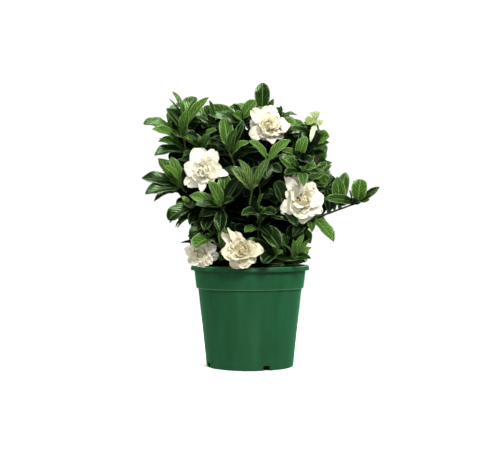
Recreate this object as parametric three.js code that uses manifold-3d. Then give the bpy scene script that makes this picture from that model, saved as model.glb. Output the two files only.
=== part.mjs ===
// A gardenia bush in a plastic nursery pot, in millimetres, +Z up, seen from the front along +Y.
// The origin is the centre of the pot's underside. The pot, the soil, five woody stems with their
// twigs, the leafy shoots, the five double flowers and their green calyxes are separate solids.
import * as THREE from "three";
import { mergeVertices } from "three/addons/utils/BufferGeometryUtils.js";
import Module from "manifold-3d";

const wasm = await Module();
wasm.setup();

const UP = new THREE.Vector3(0, 0, 1);
const GAP = 0.3; // between pieces that touch
const GOLDEN = 137.5; // degrees from one leaf or petal of a spiral to the next

// Pot
const POT = {
  height: 140,
  rimRadius: 82.5,
  rimHeight: 6.5,
  rimInner: 76.5,
  rimRound: 1.4,
  collarTop: 77.3,
  collarBottom: 74.5,
  stepHeight: 108,
  bodyTop: 71.8,
  bodyBottom: 60.2,
  footRound: 1.5,
  wall: 1.7,
  floor: 2,
  floorRise: 3,
  padRadius: 18, // the middle of the floor comes down to the ground as a flat pad
  padEdge: 2,
  ringWidth: 0.6, // the foot ring's flat inside the wall, and the slope of its inner side
  ringSlope: 0.4,
  stepRise: 0.8,
  innerRise: 2,
  slots: 4,
  firstSlot: -68, // degrees to the right of the front
  slotWidth: 10,
  slotHeight: 7,
  slotReach: 14,
  slotProud: 4,
  slotCorner: 2,
  sides: 30,
};

// Soil
const SOIL = {
  top: 124,
  mound: 5,
  rough: 1.8,
  sides: 14,
  shoulder: 2.5, // over the pot's step, where the soil widens into the collar
  flare: 1.2,
  edge: 2,
  shore: 4,
  middle: [0.66, 0.34], // rings of the mound as shares of the collar's radius
  axis: 0.01,
};

// Positions in the front view are measured on the plane through the pot's axis, as seen by an eye
// at this distance and height, and are carried along the line of sight to their own depth.
const EYE = { distance: 1600, height: 207 };
const seen = ([across, depth, up]) => {
  const spread = 1 + depth / EYE.distance;
  return new THREE.Vector3(across * spread, depth, EYE.height + (up - EYE.height) * spread);
};

// Woody stems: foot on the soil and top
const STEMS = [
  { foot: [-24, -14], top: [-66, -30, 262] },
  { foot: [4, -28], top: [-6, -48, 262] },
  { foot: [27, -8], top: [74, -28, 250] },
  { foot: [16, 22], top: [44, 42, 268] },
  { foot: [-18, 22], top: [-42, 40, 266] },
];
const STEM = { foot: 4.2, top: 2.2, sides: 6, steps: 3, sunk: 24, bow: 10 };
const TWIG = { root: 2, end: 1.7, sides: 3, steps: 2, rise: 0.7, lowest: 0.3, step: 0.05, bow: 0.45 };

// Leafy shoots of the front: the woody stem each grows on, its stalk, and its leaves as the
// place on the stalk, the tip, the width, and the turn about the midrib
const SHOOTS = {
  top_left: {
    stem: 0, from: [-90, -24, 302], to: [-93, -34, 342],
    leaves: [
      [1, -107, -38, 382, 10, 35], [0.8, -113, -44, 371, 8, 50], [0.4, -85, -56, 357, 14, 0],
      [0.7, -56, -44, 373, 13, 0], [1, -77, -22, 375, 18, 0], [0.6, -115, -34, 359, 15, 10],
      [0.2, -103, -60, 337, 9, 30],
    ],
  },
  left_high: {
    stem: 0, from: [-84, -14, 290], to: [-109, -22, 330],
    leaves: [
      [1, -148, -34, 337, 18, 5], [0.55, -134, -44, 331, 15, 0], [0.3, -128, -44, 311, 16, 0],
      [0.15, -121, -58, 293, 18, 0],
    ],
  },
  left_inner: {
    stem: 0, from: [-64, -30, 276], to: [-68, -44, 310],
    leaves: [
      [1, -88, -70, 322, 15, 0], [1, -48, -72, 324, 15, 0], [0.9, -66, -74, 340, 13, 0],
      [0.6, -42, -68, 298, 15, 0], [0.4, -94, -60, 286, 15, 0],
    ],
  },
  left_mid: {
    stem: 0, from: [-70, -28, 226], to: [-104, -46, 254],
    leaves: [
      [1, -151, -52, 260, 18, -10], [0.8, -146, -66, 238, 20, 0], [0.6, -134, -60, 231, 12, 30],
      [0.9, -119, -76, 278, 13, 0], [1, -128, -44, 288, 16, 0], [0.5, -92, -52, 277, 14, 0],
      [0.8, -108, -56, 290, 13, 0],
    ],
  },
  left_low: {
    stem: 0, from: [-54, -32, 198], to: [-83, -54, 226],
    leaves: [
      [0.9, -114, -66, 205, 19, 0], [0.75, -104, -58, 193, 8, 50], [0.5, -84, -78, 199, 15, 0],
    ],
  },
  low_left: {
    stem: 0, from: [-40, -36, 178], to: [-56, -62, 208],
    leaves: [[0.9, -82, -74, 177, 17, 0], [1, -64, -88, 190, 13, 0]],
  },
  rim_left: {
    stem: 0, from: [-38, -36, 158], to: [-52, -66, 178],
    leaves: [[1, -78, -96, 166, 19, 0], [0.8, -34, -84, 196, 14, 0], [0.5, -97, -42, 171, 6, 0]],
  },
  centre_left: {
    stem: 1, from: [-24, -46, 196], to: [-41, -84, 222],
    leaves: [
      [1, -57, -100, 257, 15, 0], [0.8, -43, -76, 270, 17, 0], [0.9, -14, -100, 264, 14, 0],
      [1, -21, -106, 234, 12, 0], [0.95, -42, -98, 186, 15, 0], [0.7, -70, -88, 210, 15, 0],
      [1, -78, -98, 222, 13, 0], [0.9, -82, -88, 241, 15, -10],
    ],
  },
  new_growth: {
    stem: 1, from: [-4, -60, 206], to: [3, -98, 243], young: true,
    leaves: [
      [1, -27, -108, 274, 13, 0], [1, -13, -122, 287, 10, 10], [1, 24, -112, 290, 11, 0],
      [0.95, 12, -126, 262, 8, 0],
    ],
  },
  centre_inner: {
    stem: 1, from: [13, -44, 212], to: [14, -60, 248],
    leaves: [
      [1, -36, -72, 276, 15, 0], [1, 34, -72, 272, 15, 0], [0.9, 4, -64, 294, 14, 0],
      [0.6, -34, -66, 242, 15, 0], [0.6, 34, -60, 240, 15, 0],
    ],
  },
  centre_high: {
    stem: 1, from: [-16, -46, 266], to: [-30, -68, 300],
    leaves: [
      [0.7, -3, -86, 312, 14, 0], [1, -60, -80, 317, 10, 40], [0.9, -20, -86, 330, 12, 0],
      [1, -37, -58, 345, 17, 0], [1, -3, -72, 338, 9, 30],
    ],
  },
  top_centre: {
    stem: 1, from: [-14, -28, 314], to: [-12, -34, 342],
    leaves: [
      [1, 8, -40, 369, 15, 10], [0.8, -20, -44, 366, 11, 20], [1, -31, -54, 361, 14, 0],
      [0.6, -45, -46, 352, 14, 0],
    ],
  },
  top_mid_left: {
    stem: 4, from: [-50, -8, 312], to: [-54, -18, 340],
    leaves: [
      [1, -64, -28, 361, 13, 0], [1, -42, -24, 363, 13, 0], [0.8, -52, -30, 374, 9, 50],
      [0.6, -76, -38, 345, 13, 0], [0.5, -34, -44, 334, 14, 0], [0.3, -66, -54, 330, 15, 0],
    ],
  },
  crest: {
    stem: 3, from: [14, -10, 322], to: [17, -20, 352],
    leaves: [[1, 18, -30, 393, 19, 0], [0.8, 33, -22, 371, 8, 40], [0.8, 3, -26, 372, 8, 40]],
  },
  top_right: {
    stem: 3, from: [34, -16, 320], to: [38, -26, 344],
    leaves: [
      [1, 65, -40, 350, 10, -20], [1, 43, -32, 362, 6, 40], [0.7, 66, -48, 334, 12, 0],
      [0.8, 56, -12, 348, 13, 0],
    ],
  },
  right_high: {
    stem: 2, from: [82, -20, 284], to: [90, -34, 316],
    leaves: [
      [1, 55, -56, 331, 12, 0], [1, 98, -40, 343, 13, 0], [0.9, 117, -48, 329, 18, 0],
      [0.6, 111, -54, 310, 11, 20], [0.3, 104, -46, 296, 10, 30], [0.7, 80, -60, 340, 12, 20],
    ],
  },
  pale_tip: {
    stem: 2, from: [97, -36, 318], to: [92, -54, 343], young: true,
    leaves: [
      [1, 79, -66, 336, 14, 0], [1, 84, -74, 311, 6, 0], [0.95, 98, -64, 334, 11, 0],
      [1, 88, -48, 353, 12, 0],
    ],
  },
  right_centre: {
    stem: 2, from: [64, -40, 260], to: [68, -60, 288],
    leaves: [
      [1, 78, -72, 318, 15, 0], [0.8, 92, -72, 284, 13, 0], [0.9, 44, -84, 300, 14, 0],
      [0.7, 95, -62, 268, 11, 20], [0.95, 58, -72, 326, 13, 10],
    ],
  },
  centre: {
    stem: 1, from: [16, -46, 254], to: [25, -74, 284],
    leaves: [
      [1, 56, -88, 314, 14, 0], [1, 0, -90, 314, 12, 10], [0.8, 44, -94, 268, 14, 0],
      [0.7, 2, -90, 262, 14, 0], [0.9, 22, -104, 262, 14, 0],
    ],
  },
  right_mid: {
    stem: 2, from: [76, -26, 234], to: [92, -42, 260],
    leaves: [
      [1, 99, -72, 273, 15, 0], [1, 108, -44, 285, 16, 0], [0.8, 107, -72, 252, 13, 0],
      [0.6, 116, -34, 262, 14, 0], [0.9, 70, -50, 288, 14, 0],
    ],
  },
  over_right_bloom: {
    stem: 2, from: [66, -48, 252], to: [72, -80, 270],
    leaves: [[1, 75, -116, 249, 12, 0], [1, 92, -94, 276, 13, 0], [0.9, 48, -98, 264, 14, 0]],
  },
  right_far: {
    stem: 2, from: [98, -20, 208], to: [153, -34, 228],
    leaves: [
      [1, 154, -42, 259, 19, 0], [1, 180, -40, 249, 9, 30], [0.95, 104, -56, 233, 12, -20],
      [0.85, 122, -56, 219, 11, 10], [0.55, 128, -46, 263, 17, 0], [0.5, 133, -18, 270, 16, 0],
      [0.25, 106, -44, 250, 15, 0],
    ],
  },
  right_bloom_side: {
    stem: 2, from: [44, -44, 206], to: [45, -74, 226],
    leaves: [[1, 38, -94, 254, 19, 0], [0.9, 66, -92, 193, 13, 0], [0.8, 28, -92, 204, 14, 0]],
  },
  low_right: {
    stem: 2, from: [68, -34, 188], to: [88, -58, 207],
    leaves: [
      [1, 117, -78, 174, 15, 0], [0.9, 86, -90, 187, 10, 0], [0.6, 104, -54, 210, 12, 0],
      [0.7, 60, -82, 178, 14, 0],
    ],
  },
  centre_right: {
    stem: 1, from: [8, -52, 194], to: [16, -82, 214],
    leaves: [
      [1, 35, -106, 210, 14, 0], [1, 19, -110, 240, 9, 20], [0.9, -12, -104, 210, 14, 0],
      [0.6, 44, -76, 224, 14, 0],
    ],
  },
  centre_low: {
    stem: 1, from: [8, -46, 170], to: [14, -74, 198],
    leaves: [
      [1, 41, -98, 163, 20, 0], [0.8, -8, -90, 184, 13, 0], [0.9, 30, -102, 180, 13, 0],
    ],
  },
  rim_right: {
    stem: 2, from: [44, -32, 144], to: [59, -62, 150],
    leaves: [
      [1, 48, -80, 168, 7, 20], [1, 71, -80, 186, 8, 0], [1, 83, -74, 177, 6, 40],
      [0.9, 85, -66, 165, 8, 20], [0.95, 86, -72, 148, 11, 10], [1, 58, -90, 180, 8, 0],
      [0.7, 38, -76, 188, 11, 0],
    ],
  },
  rim_middle: {
    stem: 1, from: [22, -42, 146], to: [36, -74, 156],
    leaves: [[1, 18, -98, 144, 16, 0], [0.9, 46, -92, 184, 12, 0], [0.5, 8, -62, 182, 13, 0]],
  },
  between_blooms: {
    stem: 1, from: [-20, -34, 146], to: [-38, -66, 164],
    leaves: [[1, -42, -84, 200, 12, 0], [0.9, -41, -76, 147, 9, 0], [0.6, -14, -72, 186, 13, 0]],
  },
};

// Shoots on the far side and the top fill an egg-shaped crown, spaced by the golden angle within
// the half of the circle behind the front shoots
const CROWN = {
  count: 13,
  centre: [8, 6, 250],
  radii: [118, 100, 92],
  top: 0.9,
  bottom: -0.66,
  firstTurn: -10,
  spread: 200,
  stalk: 40,
  rise: 0.5,
  inset: 0.4,
};
// Their leaves stand in whorls up the stalk, which close and shrink towards its end
const WHORLS = {
  count: 3,
  lowest: 3,
  first: 0.3,
  last: 0.94,
  open: [80, 44],
  turn: [47, 90], // from shoot to shoot, and from whorl to whorl
  size: 47,
  shrink: 0.2,
  vary: { turn: 14, open: 8, size: 0.1 },
  reach: { middle: [4, 245], radii: [122, 125] }, // one that would reach beyond doesn't grow
};
// Small leaves that fill the front shoots: fewer where a shoot has many chosen ones
const FILL = {
  count: [3, 2],
  many: 6,
  first: 0.15,
  last: 0.75,
  size: 43,
  open: 78,
  turn: 60,
  hang: 22, // below its root; one that would hang lower, or to the pot's rim, doesn't grow
  vary: { open: 10, size: 0.1 },
};
const SHOOT = { root: 1.7, end: 1.5, sides: 4, last: 0.94, lift: 0.12, face: 0.5 };

// Leaves: stations along the blade, thickness at the rib, how far the root sinks in, arch and fold
const BLADE = { fine: [0, 0.24, 0.54, 0.82, 1], plain: [0, 0.3, 0.66, 1], thick: 1.2, seat: 0.7 };
const LEAF = { arch: 0.09, fold: 16, ratio: 0.48, wide: 1.12, face: [0, -0.75, 0.65] };
const CLEAR = 0.5; // kept free round a leaf or petal
const FREE_FROM = 0.24; // leaves of one shoot may meet below this share of their length
// The bends tried in turn until a leaf is clear of the others: swing and lift in degrees
const SWINGS = [
  [8, 0], [-8, 0], [0, 8], [0, -8], [16, 6], [-16, 6], [16, -6], [-16, -6], [0, 18], [0, -18],
  [28, 0], [-28, 0], [28, 14], [-28, 14], [28, -14], [-28, -14], [0, 32], [0, -32],
];
const SCALES = [1, 0.88, 0.76];

// Flowers: stem, centre, direction it faces, radius, and for each outer petal how far across and up
// from the centre the front view shows its tip, and its width
const BLOOMS = [
  {
    stem: 0, centre: [-64, -80, 272], faces: [-0.25, -1, 0.12], radius: 28,
    petals: [
      [-14, 30, 24], [14, 26, 17], [20, 6, 20], [32, -5, 11], [9, -15, 18], [-5, -28, 10],
      [-24, -20, 18], [-26, 5, 20],
    ],
  },
  {
    stem: 1, centre: [26, -58, 334], faces: [0.05, -1, 0.35], radius: 27,
    petals: [
      [-1, 27, 22], [29, 2, 22], [21, -16, 15], [7, -24, 16], [-10, -19, 16], [-25, -13, 17],
      [-25, 4, 16], [-21, 21, 16],
    ],
  },
  {
    stem: 2, centre: [74, -88, 231], faces: [0.1, -1, 0.1], radius: 31,
    petals: [
      [-8, 33, 18], [14, 23, 22], [28, 5, 26], [25, -17, 22], [2, -33, 24], [-29, -15, 21],
      [-22, 12, 12], [-23, 31, 13],
    ],
  },
  {
    stem: 1, centre: [-11, -94, 160], faces: [0.05, -1, 0.12], radius: 27,
    petals: [
      [-10, 26, 14], [28, 1, 18], [18, -16, 14], [4, -23, 20], [-14, -23, 20], [-27, -3, 22],
      [-28, 23, 10], [-19, 31, 8],
    ],
  },
  {
    stem: 0, centre: [-69, -66, 156], faces: [-0.3, -1, -0.1], radius: 23,
    petals: [
      [-12, 25, 14], [19, 15, 17], [23, -5, 16], [15, -14, 15], [2, -19, 18], [-14, -13, 18],
      [-21, 3, 20],
    ],
  },
];
// Outer petals: how far behind the centre their tips lie, in turn, how far apart their two layers
// are rooted by the radius, and cupping
const OUTER = { back: [5, -2], vary: 2, layer: 0.06, cup: 0.25 };
// Inner petals wind inwards round the core: count, turn, and from the first to the last their lean
// from the axis, length and width by the radius, seat along the axis, and cupping
const PETALS = {
  count: 5,
  lean: [60, 12],
  long: [0.74, 0.42],
  wide: [0.68, 0.42],
  seat: [0.1, 0.18],
  cup: [0.4, 0.7],
  turn: 40, // from flower to flower
  vary: { turn: 6, lean: 4, long: 0.07 },
};
const PETAL = { stations: [0, 0.4, 0.78, 1], widths: [0, 0.72, 1, 0.55], thick: 1.2, sag: 0.5, rim: 0.6 };
const CORE = { radius: 2.6, back: 2.6, length: 8, top: 1.2, sides: 5, behind: 0.3 };
const CALYX = { radius: 3, neck: 1.4, length: 8, sides: 5 };
const STALK = { root: 1.3, end: 1.4, length: 12, sides: 4, steps: 2, rise: 0.6, bow: 1.5, sunk: 1 };

const radians = THREE.MathUtils.degToRad;

// A repeatable number from -1 to 1 for each set of three whole numbers.
function scatter(a, b, c) {
  const wave = Math.sin(a * 12.9898 + b * 78.233 + c * 37.719 + 4.1) * 43758.5453;
  return 2 * (wave - Math.floor(wave)) - 1;
}

// A closed surface through rings of points. A blade's two faces get the same diagonals.
function loft(rings) {
  const size = rings[0].length;
  const positions = rings.flat().flatMap((p) => p.toArray());
  const index = [];
  rings.slice(1).forEach((_, i) => {
    for (let j = 0; j < size; j++) {
      const next = (j + 1) % size;
      const [a, b, c, d] = [i * size + j, i * size + next, (i + 1) * size + next, (i + 1) * size + j];
      index.push(...(j < size / 2 ? [a, b, d, b, c, d] : [a, b, c, a, c, d]));
    }
  });
  const last = (rings.length - 1) * size;
  for (let j = 1; j < size - 1; j++) {
    index.push(0, j + 1, j, last, last + j, last + j + 1);
  }
  const geometry = new THREE.BufferGeometry();
  geometry.setAttribute("position", new THREE.Float32BufferAttribute(positions, 3));
  geometry.setIndex(index);
  return geometry;
}

// The closed solid of a geometry, with its shared vertices merged and its collapsed faces left out.
function solid(geometry) {
  const bare = geometry.clone();
  bare.deleteAttribute("normal");
  bare.deleteAttribute("uv");
  const merged = mergeVertices(bare, 1e-4);
  const kept = [];
  const { array } = merged.index;
  for (let i = 0; i < array.length; i += 3) {
    const [a, b, c] = array.slice(i, i + 3);
    if (a !== b && b !== c && a !== c) kept.push(a, b, c);
  }
  const shape = (triangles) =>
    new wasm.Manifold(
      new wasm.Mesh({
        numProp: 3,
        vertProperties: merged.attributes.position.array,
        triVerts: new Uint32Array(triangles),
      }),
    );
  const made = shape(kept);
  return made.volume() < 0 ? shape(kept.reverse()) : made;
}

function geometryOf(made) {
  const mesh = made.getMesh();
  const geometry = new THREE.BufferGeometry();
  geometry.setAttribute("position", new THREE.Float32BufferAttribute(mesh.vertProperties, 3));
  geometry.setIndex(new THREE.BufferAttribute(mesh.triVerts, 1));
  geometry.computeVertexNormals();
  return geometry;
}

// Two unit vectors across a direction.
function across(direction) {
  const side = new THREE.Vector3().crossVectors(UP, direction);
  if (side.length() < 0.05) side.set(1, 0, 0);
  side.normalize();
  return [side, new THREE.Vector3().crossVectors(direction, side).normalize()];
}

// A round tube along a curve that tapers from its root radius to its end radius.
function tube(curve, root, end, sides, steps, from = 0) {
  const rings = [];
  const [lead] = across(curve.getTangent(1));
  for (let i = 0; i <= steps; i++) {
    const u = from + ((1 - from) * i) / steps;
    const point = curve.getPoint(u);
    const tangent = curve.getTangent(u);
    const e1 = lead.clone().addScaledVector(tangent, -lead.dot(tangent)).normalize();
    const e2 = new THREE.Vector3().crossVectors(tangent, e1);
    const radius = root + (end - root) * u;
    rings.push(
      Array.from({ length: sides }, (_, k) => {
        const angle = (2 * Math.PI * k) / sides;
        return point
          .clone()
          .addScaledVector(e1, radius * Math.cos(angle))
          .addScaledVector(e2, radius * Math.sin(angle));
      }),
    );
  }
  return loft(rings);
}

function bezier(start, control, end) {
  return new THREE.QuadraticBezierCurve3(start, control, end);
}

// What stands in the way of a new leaf: solids with their boxes and owners.
const placed = [];

function place(made, owner, kind) {
  const { min, max } = made.boundingBox();
  const box = new THREE.Box3(new THREE.Vector3(...min), new THREE.Vector3(...max));
  placed.push({ made, box, owner, kind });
}

function crosses(made, test) {
  const { min, max } = made.boundingBox();
  const box = new THREE.Box3(new THREE.Vector3(...min), new THREE.Vector3(...max));
  return placed.some(
    (other) => test(other) && other.box.intersectsBox(box) && !made.intersect(other.made).isEmpty(),
  );
}

// Pot: a turned wall with a rolled rim, a collar and a step, and drain slots through its foot.
function potSolid() {
  const p = POT;
  const path = new THREE.Path();
  const slope = (p.bodyTop - p.bodyBottom) / p.stepHeight;
  path.moveTo(0, 0);
  path.lineTo(p.padRadius, 0);
  path.lineTo(p.padRadius + p.padEdge, p.floorRise);
  path.lineTo(p.bodyBottom - p.wall - p.ringWidth - p.ringSlope, p.floorRise);
  path.lineTo(p.bodyBottom - p.wall - p.ringWidth, 0);
  path.lineTo(p.bodyBottom - p.footRound, 0);
  path.lineTo(p.bodyBottom + slope * p.footRound, p.footRound);
  path.lineTo(p.bodyTop, p.stepHeight);
  path.lineTo(p.collarBottom, p.stepHeight + p.stepRise);
  path.lineTo(p.collarTop, p.height - p.rimHeight);
  path.lineTo(p.rimRadius, p.height - p.rimHeight);
  path.lineTo(p.rimRadius, p.height - p.rimRound);
  path.lineTo(p.rimRadius - p.rimRound, p.height);
  path.lineTo(p.rimInner, p.height);
  path.lineTo(p.collarBottom - p.wall, p.stepHeight + p.innerRise);
  path.lineTo(p.bodyTop - p.wall, p.stepHeight);
  path.lineTo(p.bodyBottom + slope * (p.floorRise + p.floor) - p.wall, p.floorRise + p.floor);
  path.lineTo(0, p.floorRise + p.floor);
  const turned = new THREE.LatheGeometry(path.getPoints(), p.sides);
  turned.rotateX(Math.PI / 2);
  return Array.from({ length: p.slots }, (_, i) => slotCutter(i)).reduce(
    (pot, cutter) => pot.subtract(cutter),
    solid(turned),
  );
}

// What a drain slot takes out of the pot's foot: a low arch with cut corners.
function slotCutter(i) {
  const p = POT;
  const half = p.slotWidth / 2;
  const arch = new THREE.Shape();
  arch.moveTo(-half, -p.floor);
  arch.lineTo(half, -p.floor);
  arch.lineTo(half, p.slotHeight - p.slotCorner);
  arch.lineTo(half - p.slotCorner, p.slotHeight);
  arch.lineTo(p.slotCorner - half, p.slotHeight);
  arch.lineTo(-half, p.slotHeight - p.slotCorner);
  const cutter = new THREE.ExtrudeGeometry(arch, { depth: p.slotReach, bevelEnabled: false });
  cutter.rotateX(Math.PI / 2);
  cutter.translate(0, -p.bodyBottom + p.slotReach - p.slotProud, 0);
  cutter.rotateZ(radians(p.firstSlot + (360 / p.slots) * i));
  return solid(cutter);
}

// Soil: fills the pot to below the rim with a low rough mound, with a hole for each woody stem.
function soilSolid(holes) {
  const p = POT;
  const slope = (p.bodyTop - p.bodyBottom) / p.stepHeight;
  const inner = p.bodyTop - p.wall - GAP;
  const collar = p.collarBottom - p.wall - GAP;
  const base = p.floorRise + p.floor + GAP;
  const filled = [
    [SOIL.axis, base],
    [p.bodyBottom + slope * base - p.wall - GAP, base],
    [inner, p.stepHeight],
    [collar, p.stepHeight + SOIL.shoulder],
    [collar + SOIL.flare, SOIL.top - SOIL.edge],
  ];
  const mound = [
    [collar - SOIL.shore, SOIL.top],
    [collar * SOIL.middle[0], SOIL.top + SOIL.mound / 2],
    [collar * SOIL.middle[1], SOIL.top + SOIL.mound],
    [SOIL.axis, SOIL.top + SOIL.mound],
  ];
  const rows = [...filled, ...mound];
  const flat = Math.cos(Math.PI / POT.sides);
  const rings = rows.map(([radius, height], row) =>
    Array.from({ length: SOIL.sides }, (_, k) => {
      const angle = (2 * Math.PI * k) / SOIL.sides;
      const open = row >= filled.length && row < rows.length - 1;
      const rough = open ? SOIL.rough * scatter(row, k, 0) : 0;
      return new THREE.Vector3(Math.cos(angle), Math.sin(angle), 0)
        .multiplyScalar(radius * flat)
        .setZ(height + rough);
    }),
  );
  return holes.reduce((soil, hole) => soil.subtract(hole), solid(loft(rings)));
}

// A woody stem's line, and the point on it where a twig to a given place leaves.
function stemCurve({ foot: [x, y], top }) {
  const end = seen(top);
  const start = new THREE.Vector3(x, y, SOIL.top - STEM.sunk);
  const control = new THREE.Vector3(x, y, (start.z + end.z) / 2 + STEM.bow);
  return bezier(start, control, end);
}

function twigCurve(line, end, heading) {
  let start = line.getPoint(TWIG.lowest);
  let least = Infinity;
  for (let u = TWIG.lowest; u < 1 + TWIG.step / 2; u += TWIG.step) {
    const point = line.getPoint(Math.min(u, 1));
    const flat = Math.hypot(end.x - point.x, end.y - point.y);
    const miss = Math.abs(end.z - point.z - TWIG.rise * flat);
    if (miss < least) [start, least] = [point, miss];
  }
  const length = start.distanceTo(end);
  const control = end.clone().addScaledVector(heading, -TWIG.bow * length);
  return bezier(start, control, end);
}

// The shoots on the far side and the top of the crown, by the golden angle.
function crownShoots() {
  return Array.from({ length: CROWN.count }, (_, i) => {
    const rise = CROWN.top + ((CROWN.bottom - CROWN.top) * i) / (CROWN.count - 1);
    const turn = radians(((i * GOLDEN) % CROWN.spread) + CROWN.firstTurn);
    const flat = Math.sqrt(Math.max(0, 1 - rise * rise));
    const out = new THREE.Vector3(Math.cos(turn) * flat, Math.sin(turn) * flat, rise);
    const tip = out.clone().multiply(new THREE.Vector3(...CROWN.radii));
    tip.add(new THREE.Vector3(...CROWN.centre));
    const heading = out.clone().addScaledVector(UP, CROWN.rise).normalize();
    const base = tip.clone().addScaledVector(heading, -CROWN.stalk);
    tip.addScaledVector(heading, -CROWN.inset * WHORLS.size);
    return { stem: tip.x > 0 ? 3 : 4, base, tip, perWhorl: 2 + (i % 2) };
  });
}

function frontShoots() {
  return Object.values(SHOOTS).map(({ stem, from, to, leaves, young }) => ({
    stem,
    base: seen(from),
    tip: seen(to),
    leaves,
    young,
  }));
}

// A leaf grows from a point of its stalk to a tip, with a width and the way its face looks.
function chosenLeaves(shoot, line) {
  return shoot.leaves.map(([at, x, y, z, width, roll]) => {
    const start = line.getPoint(at * SHOOT.last);
    const tip = seen([x, y, z]);
    const out = tip.clone().sub(start).normalize();
    const face = new THREE.Vector3(...LEAF.face).applyAxisAngle(out, radians(roll));
    return { start, tip, face, width: width * LEAF.wide, fine: true };
  });
}

function grownLeaf(line, u, turn, open, size) {
  const start = line.getPoint(u);
  const axis = line.getTangent(u);
  const [e1, e2] = across(axis);
  const out = new THREE.Vector3()
    .addScaledVector(e1, Math.cos(radians(turn)) * Math.sin(radians(open)))
    .addScaledVector(e2, Math.sin(radians(turn)) * Math.sin(radians(open)))
    .addScaledVector(axis, Math.cos(radians(open)))
    .addScaledVector(UP, SHOOT.lift)
    .normalize();
  const tip = start.clone().addScaledVector(out, size);
  const face = axis.clone().addScaledVector(UP, SHOOT.face);
  return { start, tip, face, width: size * LEAF.ratio };
}

// Leaves that fill a front shoot below its chosen ones wind round the stalk.
function fillLeaves(shoot, line, index) {
  const count = FILL.count[shoot.leaves.length >= FILL.many ? 1 : 0];
  return Array.from({ length: count }, (_, k) => {
    const u = FILL.last + ((FILL.first - FILL.last) * k) / (count - 1);
    const turn = GOLDEN * k + FILL.turn * index;
    const open = FILL.open + FILL.vary.open * scatter(index, k, 2);
    const size = FILL.size * (1 + FILL.vary.size * scatter(index, k, 3));
    return grownLeaf(line, u, turn, open, size);
  }).filter(({ start, tip }) => start.z - tip.z < FILL.hang && tip.z > POT.height);
}

// Leaves of the far side stand in threes or pairs up the stalk.
function whorledLeaves(shoot, line, index) {
  const { vary } = WHORLS;
  const leaves = [];
  for (let w = 0; w < WHORLS.count; w++) {
    const rise = w / (WHORLS.count - 1);
    const u = WHORLS.first + (WHORLS.last - WHORLS.first) * rise;
    const count = w === 0 ? WHORLS.lowest : shoot.perWhorl;
    for (let k = 0; k < count; k++) {
      const key = w * 5 + k;
      const round = WHORLS.turn[0] * index + WHORLS.turn[1] * w + (360 / count) * k;
      const turn = round + vary.turn * scatter(index, key, 1);
      const open = WHORLS.open[0] + (WHORLS.open[1] - WHORLS.open[0]) * rise;
      const size = WHORLS.size * (1 - WHORLS.shrink * rise) * (1 + vary.size * scatter(index, key, 3));
      leaves.push(grownLeaf(line, u, turn, open + vary.open * scatter(index, key, 2), size));
    }
  }
  const { middle, radii } = WHORLS.reach;
  return leaves
    .filter(({ tip }) => Math.hypot((tip.x - middle[0]) / radii[0], (tip.z - middle[1]) / radii[1]) < 1)
    .reverse();
}

const BENDS = [[0, 0, 1]];
for (const scale of SCALES) {
  for (const [swing, lift] of SWINGS) BENDS.push([swing, lift, scale]);
}

// A leaf's start, chord, face and half width after a bend about its face and across it.
function bladeFrame(leaf, [swing, lift, scale]) {
  const chord = leaf.tip.clone().sub(leaf.start);
  const out = chord.clone().normalize();
  const face = leaf.face.clone().addScaledVector(out, -leaf.face.dot(out)).normalize();
  const side = new THREE.Vector3().crossVectors(out, face);
  chord.applyAxisAngle(face, radians(swing)).applyAxisAngle(side, radians(lift));
  face.applyAxisAngle(side, radians(lift));
  chord.multiplyScalar(scale);
  return { start: leaf.start, chord, face, half: (leaf.width * scale) / 2, leaf };
}

// Half the width of a blade along its length, as a share of its widest place.
function outline(t) {
  return Math.sin(Math.PI * t ** 1.05) ** 0.8;
}

// A ring across a blade: left rim, top of the rib, right rim, underside of the rib. At the root it
// is upright and has no width, so that it sinks cleanly into the stalk.
function ringAcross(rib, side, normal, wide, lift, thick) {
  const top = rib.clone().addScaledVector(normal, thick);
  const under = rib.clone().addScaledVector(normal, -thick);
  if (wide === 0) return [top, top, under, under];
  const rim = (sign) => rib.clone().addScaledVector(side, sign * wide).addScaledVector(normal, lift);
  return [rim(-1), top, rim(1), under];
}

// A leaf blade: its rib arches over its chord, its halves fold up from the rib, its tip is a point.
function blade({ start, chord, face, half, leaf }, grow = 0, from = 0) {
  const length = chord.length();
  const out = chord.clone().normalize();
  const side = new THREE.Vector3().crossVectors(out, face);
  const fold = radians(LEAF.fold);
  const stations = leaf.fine ? BLADE.fine : BLADE.plain;
  const rings = stations
    .map((t) => Math.max(t, from))
    .filter((t, i, all) => i === 0 || t > all[i - 1])
    .map((t) => {
      const rib = start.clone().addScaledVector(out, BLADE.seat * (1 - t)).addScaledVector(chord, t);
      rib.addScaledVector(face, 4 * LEAF.arch * length * (t - t * t));
      const normal = face.clone().addScaledVector(out, -4 * LEAF.arch * (1 - 2 * t)).normalize();
      if (t === 1) return Array(4).fill(rib.addScaledVector(out, grow));
      const wide = t === 0 ? 0 : half * outline(t) + grow;
      const thick = BLADE.thick / 2 + grow;
      return ringAcross(rib, side, normal, wide * Math.cos(fold), wide * Math.sin(fold), thick);
    });
  return solid(loft(rings));
}

// The first bend of a leaf that crosses nothing, or null where every one does.
function clearLeaf(leaf, owner) {
  for (const bend of BENDS) {
    const frame = bladeFrame(leaf, bend);
    const probe = blade(frame, CLEAR);
    if (crosses(probe, (other) => other.owner !== owner && other.kind !== "free")) continue;
    const free = blade(frame, CLEAR, FREE_FROM);
    if (crosses(free, (other) => other.owner === owner && other.kind === "free")) continue;
    const made = blade(frame);
    place(made, owner, "leaf");
    place(blade(frame, 0, FREE_FROM), owner, "free");
    return made;
  }
  return null;
}

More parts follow.
